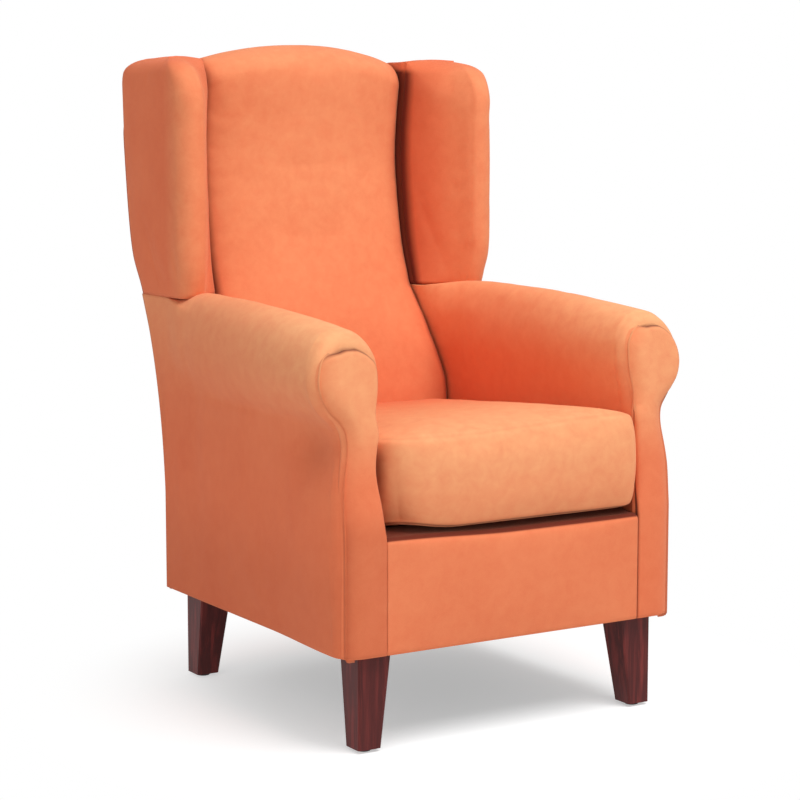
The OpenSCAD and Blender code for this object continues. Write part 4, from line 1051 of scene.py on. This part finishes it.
def makeInsideBack():
    n, flap = back["columns"], np.linspace(0, 1, back["flaps"] + 1)[1:]
    s = np.concatenate([-np.ones(back["flaps"]), widened(n, back["spread"]), np.ones(back["flaps"])])
    tuck = np.concatenate([flap[::-1], np.zeros(n), flap])  # both sides go in behind the wings
    behind = tuck * back["flapDepth"]
    topZ = backTopAt(s) - chair["backRound"]
    grid = []

    def frontAt(z):
        half = betweenAt(z) - 0.4
        roll = edgeRoll(half * (1 - np.abs(s)), back["sideRound"], back["sideDepth"])
        return insideBackAt(z, s) + roll + behind

    for v in np.linspace(0, 1, back["rows"]):
        z = mixed(chair["deck"] + 0.6, topZ, v)
        limit = rearAt(z) - 44 + 40 * ramp(z, 940, 60)
        grid.append(np.stack([s * (betweenAt(z) - 0.4 - 0.8 * tuck), np.minimum(frontAt(z), limit), z], 1))
    front, rear = frontAt(topZ) - behind, rearAt(topZ) - 0.6
    front = np.minimum(front, rear - 12)
    for a in np.linspace(0, math.pi, back["top"] + 2)[1:-1]:
        z = topZ + chair["backRound"] * math.sin(a)
        lean = rearAt(np.minimum(z, chair["height"])) - rearAt(topZ)
        y = mixed(front, rear, (1 - math.cos(a)) / 2) + lean * 0.5 + tuck * 9 * math.cos(a)
        grid.append(np.stack([s * (betweenAt(z) - 0.4 - 5 * tuck), y, z - tuck * 9 * math.sin(a)], 1))
    for dy, dz in ((0, 0), (-2.2, 3.0), (-5, 5)):
        grid.append(np.stack([s * (chair["backHalf"] - 0.4 - 5 * tuck), rear + dy - 9 * tuck, topZ - dz], 1))
    grid = np.array(grid)
    piece = gridPiece("insideBack", grid)
    cols, tall = np.arange(grid.shape[1]), grid.shape[0]
    fromSide = np.minimum(cols, len(cols) - 1 - cols) - back["flaps"]
    tucked = np.clip(1 - fromSide / 5, 0, 1)
    held = np.zeros(grid.shape[:2]) + tucked
    held[:12] = np.maximum(held[:12], np.linspace(1, 0, 12)[:, None])
    held[-6:] = 1
    plump(piece, held.ravel(), back["cap"], pressure=4)
    p = meshPoints(piece)
    edgeNear = np.tile(np.exp(-(np.maximum(fromSide, 0) / 9.0) ** 2), tall)
    pulls = ripple(p * [2, 2, 14], 3, 35, 2) * edgeNear * 0.0018  # small pulls run in from the tucked sides
    soft = (1 - held.ravel()) * (0.0016 * ripple(p, 6, 31) + pulls)
    setPoints(piece, p + meshNormals(piece) * soft[:, None])
    # painted shade where the sides tuck in behind the wings
    addValue(piece, "paintedShade", np.tile(tucked, tall))
    # wear and painted highlight, most around the middle height
    wornAndLit = back["rubAndHighlight"][0] + back["rubAndHighlight"][1] * hump(p[:, 2] * 1000, *back["rubHighlightHump"])
    addValue(piece, "rubAndHighlight", np.tile(np.clip(fromSide / 10, 0, 1), tall) * wornAndLit)
    thicken(piece, back["wall"])
    dress(piece, "chair", "cover_fabric", ["inside_back_pad"])


makeInsideBack()

# outside back
outside = {
    "columns": 92, "spread": 0.86, "rows": 130, "edge": 8, "edgeDepth": 4, "swell": 2.0, "narrow": 7,
    "narrowRamp": (925, 60), "wall": 0.004, "cap": 0.003,
}


def outsideTopAt(x):
    s = np.abs(x) / chair["backHalf"]
    crown = backTopAt(np.minimum(s, 1)) - chair["backRound"]
    return np.where(s <= 1, crown, chair["wingTop"] - 45 - 23 * np.clip((np.abs(x) - 262) / 38, 0, 1) ** 2)


def outsideHalfAt(z):  # it narrows a little beside the wings' rounded tops
    return sideAt(z) - outside["narrow"] * ramp(z, *outside["narrowRamp"])


def makeOutsideBack():
    half, share = chair["halfWidth"], widened(outside["columns"], outside["spread"])
    topZ = outsideTopAt(share * half)
    rows = []
    for v in np.linspace(0, 1, outside["rows"]):
        z = mixed(chair["hem"], topZ, v)
        near = np.minimum(half * (1 - np.abs(share)), topZ - z)
        swell = outside["swell"] * (1 - share ** 2) * math.sin(math.pi * v)
        y = backAt(z) - 0.3 - edgeRoll(near, outside["edge"], outside["edgeDepth"]) + swell
        rows.append(np.stack([share * (outsideHalfAt(z) - 1), y, z], 1))
    wraps = [rows[0] + np.array([0, -dy, -dz]) for dy, dz in hemTurn(10)[::-1]]
    grid = np.array(wraps + rows)[:, ::-1]
    piece = gridPiece("outsideBack", grid)
    away = np.tile(half * (1 - np.abs(share)), (len(grid), 1))
    held = np.clip(1 - away / 30, 0, 1)
    held[:6], held[-4:] = 1, 1
    plump(piece, held.ravel(), outside["cap"], pressure=3)
    waver(piece, held.ravel(), 0.0008, 7, 41)
    # painted shade along the sides, darker along the top edge
    paintedShade = 0.5 * np.clip(1 - away / 5, 0, 1)
    paintedShade[-3:] = 0.8
    addValue(piece, "paintedShade", paintedShade.ravel())
    thicken(piece, outside["wall"])
    dress(piece, "chair", "cover_fabric", ["outside_back_cover"])


makeOutsideBack()

# loose seat cushion
cushion = {
    "half": 236.6, "shy": 5, "proud": 3, "depth": 545.6, "bottom": 334.4, "edge": 148, "crown": 15,
    "cornerLeft": 64, "cornerRight": 13, "draw": 4, "low": 17, "round": 17, "slope": 34, "rise": 10,
    "riseRamp": (-120, 300), "droop": 3, "lift": 12, "liftRamp": (-100, -130), "across": 76, "along": 88,
    "side": 20, "sideEven": 0.55, "swell": 3, "cap": 0.007, "seamDepth": 1.6, "firmRamp": (-130, -95),
}


def roundedPlan(u, v, a, b, r):  # a grid on a rectangle with rounded corners
    ring = np.maximum(np.maximum(np.abs(u), np.abs(v)), 1e-6)
    p = np.stack([a * u / ring, b * v / ring], -1)
    limit = np.array([a, b]) - r[..., None]
    core = np.clip(p, -limit, limit)
    d = p - core
    far = np.linalg.norm(d, axis=-1, keepdims=True)
    p = core + d * np.minimum(1, r[..., None] / np.maximum(far, 1e-9))
    return p[..., 0] * ring, p[..., 1] * ring


def cushionFaces(u, v):  # the cushion's top and its underside, and how far its sides are set in from its edge
    c = cushion
    inset = c["round"] * 0.75
    a, b = c["half"] - inset, (c["depth"] + c["proud"]) / 2 - inset
    x, y = roundedPlan(u, v, a, b, np.where(u < 0, c["cornerLeft"], c["cornerRight"]))
    x = x + c["shy"] * eased(-x / a) * eased(0.5 - y / b)  # its left front corner stands off the arm
    dome, far = (1 - u ** 4) * (1 - v ** 4), np.clip((y + b) / (2 * b), 0, 1)
    topZ = c["bottom"] + c["edge"] - c["round"] * 0.22 + c["crown"] * dome ** 0.6
    topZ = topZ - c["slope"] * far + c["rise"] * ramp(x, *c["riseRamp"]) * (1 - far) ** 1.5  # it has sunk at the back
    under = c["bottom"] + c["round"] * 0.3 * (1 - dome ** 0.35)
    lift = mixed(-c["droop"], c["lift"], ramp(x, *c["liftRamp"]))
    under = under + lift * eased(1 - (y + b) / 70)  # its front edge droops, and lifts at the left
    y = y + chair["frontY"] + c["depth"] / 2 - c["proud"] / 2
    return np.stack([x, y, topZ], 2), np.stack([x, y, under], 2), inset


def makeCushion():
    c = cushion
    u, v = np.meshgrid(np.linspace(-1, 1, c["across"]), np.linspace(-1, 1, c["along"]))
    top, low, inset = cushionFaces(u, v)
    rows, cols = u.shape
    loop = [(0, j) for j in range(cols)] + [(i, cols - 1) for i in range(1, rows)]
    loop += [(rows - 1, j) for j in range(cols - 2, -1, -1)] + [(i, 0) for i in range(rows - 2, 0, -1)]
    index, n = [i * cols + j for i, j in loop], len(loop)
    last = [rows * cols + i for i in index]
    lip, foot = top.reshape(-1, 3)[index], low.reshape(-1, 3)[index]
    lu, lv = np.abs(u.ravel()[index]), np.abs(v.ravel()[index])
    lowIn = np.where(u.ravel()[index] < 0, 1, 0.05) * c["low"] * np.minimum(lu, lv) ** 4
    tangent = np.roll(lip[:, :2], -1, 0) - np.roll(lip[:, :2], 1, 0)
    normal = np.stack([tangent[:, 1], -tangent[:, 0]], 1) / np.linalg.norm(tangent, axis=1, keepdims=True)
    pull = c["draw"] * (1 - np.minimum(lu, lv))
    faces = gridFaces(rows, cols) + [f[::-1] for f in gridFaces(rows, cols, False, rows * cols)]
    uvs = gridUvs(top) + [f[::-1] for f in gridUvs(low)]
    sideRows = [lip]
    for g in np.radians(np.linspace(90, -90, c["side"] + 2)[1:-1]):
        share = mixed((math.sin(g) + 1) / 2, g / math.pi + 0.5, c["sideEven"])
        push = (inset + c["swell"]) * max(math.cos(g), 0) ** 0.42 - pull * math.sin(math.pi * share)
        push = push - lowIn * (1 - share) ** 2
        sideRows.append(np.column_stack([lip[:, :2] + normal * push[:, None], mixed(foot[:, 2], lip[:, 2], share)]))
    points = np.vstack([top.reshape(-1, 3), low.reshape(-1, 3)] + sideRows[1:])
    sideRows.append(foot)
    start = 2 * rows * cols
    rings = [index] + [[start + k * n + i for i in range(n)] for k in range(c["side"])] + [last]
    steps = np.linalg.norm(np.diff(np.vstack([lip, lip[:1]]), axis=0), axis=1)
    length = np.concatenate([[0], np.cumsum(steps)]) * 0.001
    for k, (upper, lower) in enumerate(zip(rings, rings[1:])):
        z0, z1 = sideRows[k][:, 2] * 0.001, sideRows[k + 1][:, 2] * 0.001
        for i in range(n):
            j = (i + 1) % n
            faces.append([upper[j], upper[i], lower[i], lower[j]])
            uvs.append([(length[i + 1], z0[j]), (length[i], z0[i]), (length[i], z1[i]), (length[i + 1], z1[j])])
    piece = makeMesh("seatCushion", points, faces, uvs)
    held = np.zeros(len(points))
    held[rows * cols:start] = 0.9
    held[index], held[last] = 0.45, 0.8
    held = np.maximum(held, 0.8 * ramp(meshPoints(piece)[:, 0] * 1000, *c["firmRamp"]))
    plump(piece, held, c["cap"], pressure=5, bend=1.2)
    p = meshPoints(piece)
    x, y, z = fromRow(p).T
    seam = np.zeros(len(points))
    seam[index], seam[last] = 1, 0.8
    behind = np.clip((y - chair["frontY"]) / c["depth"], 0, 1)
    near = hump(z, c["bottom"] + c["edge"] - 6 - c["slope"] * behind, 14)
    lift = 0.0016 * ripple(p, 7, 51) * (1 - held) + 0.0005 * ripple(p, 60, 55, 2) * near
    setPoints(piece, p + meshNormals(piece) * (lift - seam * c["seamDepth"] * 0.001)[:, None])
    # painted shade along the seams, fainter on the top seam, and on the left side wall behind the front corner
    flank = ramp(x, -214, -16) * ramp(z, 475, -30)
    addValue(piece, "paintedShade", np.maximum(seam * np.where(z > 420, 0.2, 1), flank * 0.85))
    # wear and painted highlight, most at the front and on the top
    addValue(piece, "rubAndHighlight", eased(1.15 - (y - chair["frontY"]) / 420) * mixed(0.68, 1, ramp(z, 360, 100)))
    smooth = piece.modifiers.new("fine", "SUBSURF")
    smooth.levels = smooth.render_levels = 1
    applyModifiers(piece)
    dress(piece, "seat_cushion", "cover_fabric", ["seat_cushion_cover", "seat_cushion_core"])


makeCushion()

# stretched cloth under the seat, held by staples
dustCloth = {
    "halfX": 292, "front": -295.5, "rear": 303.5, "lines": 49, "hole": 27.5, "legX": 248, "legY": 261.5,
    "rise": 0.5, "sag": 1.5, "flat": 30, "thick": 0.8,
}


def clothLines(first, last, leg):  # its rows or columns, with lines along both sides of the legs
    hole = dustCloth["hole"]
    cuts = [-leg - hole, -leg + hole, leg - hole, leg + hole]
    return np.unique(np.concatenate([np.linspace(first, last, dustCloth["lines"]), cuts]))


def makeDustCloth():
    d = dustCloth
    xs, ys = clothLines(-d["halfX"], d["halfX"], d["legX"]), clothLines(d["front"], d["rear"], d["legY"])
    x, y = np.meshgrid(xs, ys)
    fall = np.cos(np.pi / 2 * np.clip(x / (d["halfX"] - d["flat"]), -1, 1))
    fall = fall * np.cos(np.pi / 2 * np.clip(y / (-d["front"] - d["flat"]), -1, 1))
    z = chair["hem"] + d["rise"] - d["sag"] * np.maximum(fall, 0) ** 0.8
    points, n = np.stack([x, y, z], 2).reshape(-1, 3), len(xs)
    faces = []
    for i in range(len(ys) - 1):
        for j in range(n - 1):
            overX, overY = abs(xs[j] + xs[j + 1]) / 2 - d["legX"], abs(ys[i] + ys[i + 1]) / 2 - d["legY"]
            if abs(overX) >= d["hole"] or abs(overY) >= d["hole"]:
                faces.append([i * n + j, (i + 1) * n + j, (i + 1) * n + j + 1, i * n + j + 1])
    uvs = [[(points[v][0] * 0.001, points[v][1] * 0.001) for v in f] for f in faces]
    piece = makeMesh("dustCloth", points, faces, uvs)
    thicken(piece, d["thick"] * 0.001)
    dress(piece, "chair", "dust_cloth", ["bottom_dust_cover"])


makeDustCloth()


# Geometry Nodes lay one small shape again and again along the edges of an object.
def repeatTree(name, box):
    group = bpy.data.node_groups.new(name, "GeometryNodeTree")
    sockets = {}
    for socket in ("Path", "Spacing", "Width", "Length", "Height", "Material"):
        kind = "NodeSocket" + {"Path": "Geometry", "Material": "Material"}.get(socket, "Float")
        made = group.interface.new_socket(name=socket, in_out="INPUT", socket_type=kind)
        sockets[socket] = made.identifier
    group.interface.new_socket(name="Pieces", in_out="OUTPUT", socket_type="NodeSocketGeometry")
    tree = Tree(group)
    given = {k: Wire(tree, o) for k, o in zip(sockets, tree.nodes.new("NodeGroupInput").outputs)}
    line = tree.node("GeometryNodeMeshToCurve", None, {"Mesh": given["Path"]})
    spaced = tree.node("GeometryNodeResampleCurve", {"mode": "LENGTH"}, {"Curve": line, "Length": given["Spacing"]})
    size = tree.node("ShaderNodeCombineXYZ", None, {0: given["Width"], 1: given["Height"], 2: given["Length"]})
    if box:
        shape = tree.node("GeometryNodeMeshCube", None, {"Size": size})
    else:
        ball = tree.node("GeometryNodeMeshUVSphere", None, {"Segments": 8, "Rings": 6, "Radius": 0.5})
        shape = tree.node("GeometryNodeTransform", None, {"Geometry": ball, "Scale": size})
    tangent = tree.node("GeometryNodeInputTangent")
    turn = tree.node("FunctionNodeAlignRotationToVector", {"axis": "Z"}, {"Vector": tangent})
    placed = tree.node("GeometryNodeInstanceOnPoints", None, {"Points": spaced, "Instance": shape, "Rotation": turn})
    real = tree.node("GeometryNodeRealizeInstances", None, {"Geometry": placed})
    smooth = tree.node("GeometryNodeSetShadeSmooth", None, {"Geometry": real, "Shade Smooth": not box})
    done = tree.node("GeometryNodeSetMaterial", None, {"Geometry": smooth, "Material": given["Material"]})
    tree.links.new(done.socket, tree.nodes.new("NodeGroupOutput").inputs[0])
    return group, sockets


def repeatAlong(name, paths, kind, sizes, material, body, slot):  # paths in metres, in the row's frame
    edges, start = [], 0
    for path in paths:
        edges += [(start + i, start + i + 1) for i in range(len(path) - 1)]
        start += len(path)
    mesh = bpy.data.meshes.new(name)
    mesh.from_pydata(np.vstack(paths).tolist(), edges, [])
    piece = newObject(name, mesh)
    nodes = piece.modifiers.new("repeat", "NODES")
    nodes.node_group, sockets = kind
    for key, value in zip(("Spacing", "Width", "Length", "Height", "Material"), (*sizes, materials[material])):
        nodes[sockets[key]] = value
    applyModifiers(piece)
    dress(piece, body, slot, [])
    small.append(piece.name)


def onSurface(piece, points, lift):  # the nearest places on a piece, raised a little
    tree = bvhtree.BVHTree.FromObject(piece, bpy.context.evaluated_depsgraph_get())
    found = [tree.find_nearest(Vector(q)) for q in points]
    return np.array([hit[0] + hit[1] * lift for hit in found])


small = []
stitch = {"spacing": 0.0085, "width": 0.0009, "length": 0.0055, "height": 0.0009}
staple = {"spacing": 0.03, "width": 0.0012, "length": 0.0105, "height": 0.0008}
tooth = {"spacing": 0.0026, "width": 0.0014, "length": 0.0014, "height": 0.0042}
stitchRow = {"topZ": 985, "fromEdge": 7, "fromTop": 6, "half": 192, "fromSeam": 1.5, "behindSeam": 3.5}
zipper = {"half": 195, "y": 240, "z": 408, "tape": 11, "tapeRows": 7, "tapeThick": 0.0006}


def makeStitches():
    s, paths, outsideBack = stitchRow, [], pieces["outsideBack"]
    for side, word in sides[::-1]:
        z = np.linspace(chair["hem"] + 8, s["topZ"], 150)
        line = toRow(np.stack([side * (outsideHalfAt(z) - s["fromEdge"]), backAt(z), z], 1))
        paths.append(onSurface(outsideBack, line, 0.0002))
        ring = frontRing()
        ring = ring - ringNormals(ring) * (seamInset(ring, side) - s["fromSeam"])[:, None]
        first, last = (9, 17) if side > 0 else (6, 13)
        x, z = ring[armPlaces[first]:armPlaces[last] + 1].T
        line = toRow(np.stack([side * x, seamY + s["behindSeam"] + leanAt(z), z], 1))
        paths.append(onSurface(pieces["armCover" + word], line, 0.0001))
    x = np.linspace(-s["half"], s["half"], 90)
    line = toRow(np.stack([x, backAt(outsideTopAt(x)), outsideTopAt(x) - s["fromTop"]], 1))
    paths.append(onSurface(outsideBack, line, 0.0002))
    kind = repeatTree("stitchRow", False)
    repeatAlong("coverStitches", paths, kind, stitch.values(), "thread", "chair", "cover_fabric")


def makeStaples():
    x, front, rear = dustCloth["halfX"] - 7, dustCloth["front"] + 7, dustCloth["rear"] - 7
    ring = [(-x, front), (x, front), (x, rear), (-x, rear), (-x, front)]
    paths = [toRow([(*p, chair["hem"] + 0.1), (*q, chair["hem"] + 0.1)]) for p, q in zip(ring, ring[1:])]
    kind = repeatTree("stapleRow", False)
    repeatAlong("dustClothStaples", paths, kind, staple.values(), "zinc", "chair", "fixings")


def makeZip():
    z, seat = zipper, pieces["seatCushion"]
    x = np.linspace(-z["half"], z["half"], 100)
    line = toRow(np.stack([x, np.full(len(x), z["y"]), np.full(len(x), z["z"])], 1))
    path = onSurface(seat, line, 0.0001)
    kind = repeatTree("zipTeeth", True)
    repeatAlong("cushionZipTeeth", [path], kind, tooth.values(), "zip", "seat_cushion", "cover_fabric")
    heights = np.linspace(-z["tape"], z["tape"], z["tapeRows"])
    rows = np.array([onSurface(seat, path + [0, 0, dz * 0.001], 0.00015) for dz in heights])
    faces = [f[::-1] for f in gridFaces(len(rows), len(x))]
    tape = makeMesh("cushionZipTape", fromRow(rows), faces, gridUvs(rows * 1000))
    thicken(tape, z["tapeThick"], 0)
    dress(tape, "seat_cushion", "cover_fabric", [])


makeStitches()
makeStaples()
makeZip()

finishes = {"cover_fabric": "cover", "deck_fabric": "deck", "dust_cloth": "dust"}


def nodeFinish(name):
    for word, finish in (
        ("glide", "glide"), ("screw", "zinc"), ("bolt", "zinc"), ("plate", "zinc"), ("spring", "wire"),
        ("clip", "wire"), ("webbing", "webbing"), ("core", "foam"), ("edge_roll", "foam"), ("leg", "leg"),
        ("arm_rail", "woodY"), ("rail_left", "woodY"), ("rail_right", "woodY"), ("rail", "woodX"),
    ):
        if word in name:
            return finish
    return "woodZ"


def setMaterial(piece, material):
    piece.data.materials.clear()
    piece.data.materials.append(material)


for piece in pieces.values():
    if piece.name not in small:
        setMaterial(piece, materials[finishes[piece["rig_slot"]]])
for nodeName, node in frame["nodes"].items():
    setMaterial(node, materials[nodeFinish(nodeName)])
print("materials set")

# floor, light and backdrop
studio = {
    "floorHalf": 14, "floor": 0.82, "floorGlow": 0.38, "shadowAt": (0.01, -0.12, 0), "whiteFrom": 0.24,
    "whiteBy": 0.7, "world": 0.42, "keyPower": 138, "keySize": 2.6, "keyAt": (18, 59, 4.2),
    "fillPower": 30, "fillSize": 3.0, "fillAt": (-62, 24, 4.2), "aim": (0, -0.05, 0.45),
}


def backdropRays(tree):  # 1 for what the camera sees, straight or in metal and glass
    camera, glossy, through = (tree.node("ShaderNodeLightPath", out=i) for i in (0, 3, 6))
    return camera.math("MAXIMUM", glossy).math("MAXIMUM", through)


def mixByRays(tree, kind, unseen, shown):  # what the camera doesn't see lights the chair
    both = tree.node("ShaderNodeMixShader", None, {0: backdropRays(tree), 1: unseen, 2: shown})
    tree.links.new(both.socket, tree.nodes.new(kind).inputs["Surface"])


def makeFloor():
    half = studio["floorHalf"]
    mesh = bpy.data.meshes.new("floor")
    mesh.from_pydata([(-half, -half, 0), (half, -half, 0), (half, half, 0), (-half, half, 0)], [], [(0, 1, 2, 3)])
    floor = newObject("floor", mesh)
    material, tree, place = newMaterial("floorPale")
    centre, limits = {0: place, 1: studio["shadowAt"]}, {1: studio["whiteFrom"], 2: studio["whiteBy"]}
    away = tree.node("ShaderNodeVectorMath", {"operation": "DISTANCE"}, centre, out=1)
    far = tree.node("ShaderNodeMapRange", {"interpolation_type": "SMOOTHSTEP"}, {0: away, **limits})
    matt = tree.node("ShaderNodeBsdfDiffuse", None, {"Color": (studio["floor"],) * 3 + (1,)})
    glow = tree.node("ShaderNodeEmission", None, {"Color": (1, 1, 1, 1), "Strength": studio["floorGlow"]})
    white = tree.node("ShaderNodeEmission", None, {"Color": (1, 1, 1, 1), "Strength": 1.0})
    near = tree.node("ShaderNodeAddShader", None, {0: matt, 1: glow})
    shown = tree.node("ShaderNodeMixShader", None, {0: far, 1: near, 2: white})
    mixByRays(tree, "ShaderNodeOutputMaterial", matt, shown)
    mesh.materials.append(material)


def makeWorld():
    world = bpy.data.worlds.new("studio")
    bpy.context.scene.world = world
    world.use_nodes = True
    world.node_tree.nodes.clear()
    tree = Tree(world.node_tree)
    lit = tree.node("ShaderNodeBackground", None, {"Color": (1, 0.995, 0.985, 1), "Strength": studio["world"]})
    white = tree.node("ShaderNodeBackground", None, {"Color": (1, 1, 1, 1), "Strength": 1.0})
    mixByRays(tree, "ShaderNodeOutputWorld", lit, white)


def makeLamp(name, place, power, size):
    azimuth, elevation, far = place
    data = bpy.data.lights.new(name, "AREA")
    data.energy, data.size = power, size
    lamp, back = newObject(name, data), directionTo(azimuth, elevation)
    lamp.location = Vector(studio["aim"]) + far * back
    lamp.rotation_euler = (-back).to_track_quat("-Z", "Y").to_euler()


makeFloor()
makeWorld()
makeLamp("key", studio["keyAt"], studio["keyPower"], studio["keySize"])
makeLamp("fill", studio["fillAt"], studio["fillPower"], studio["fillSize"])
bpy.context.scene.view_settings.view_transform = "Standard"
print("studio set")
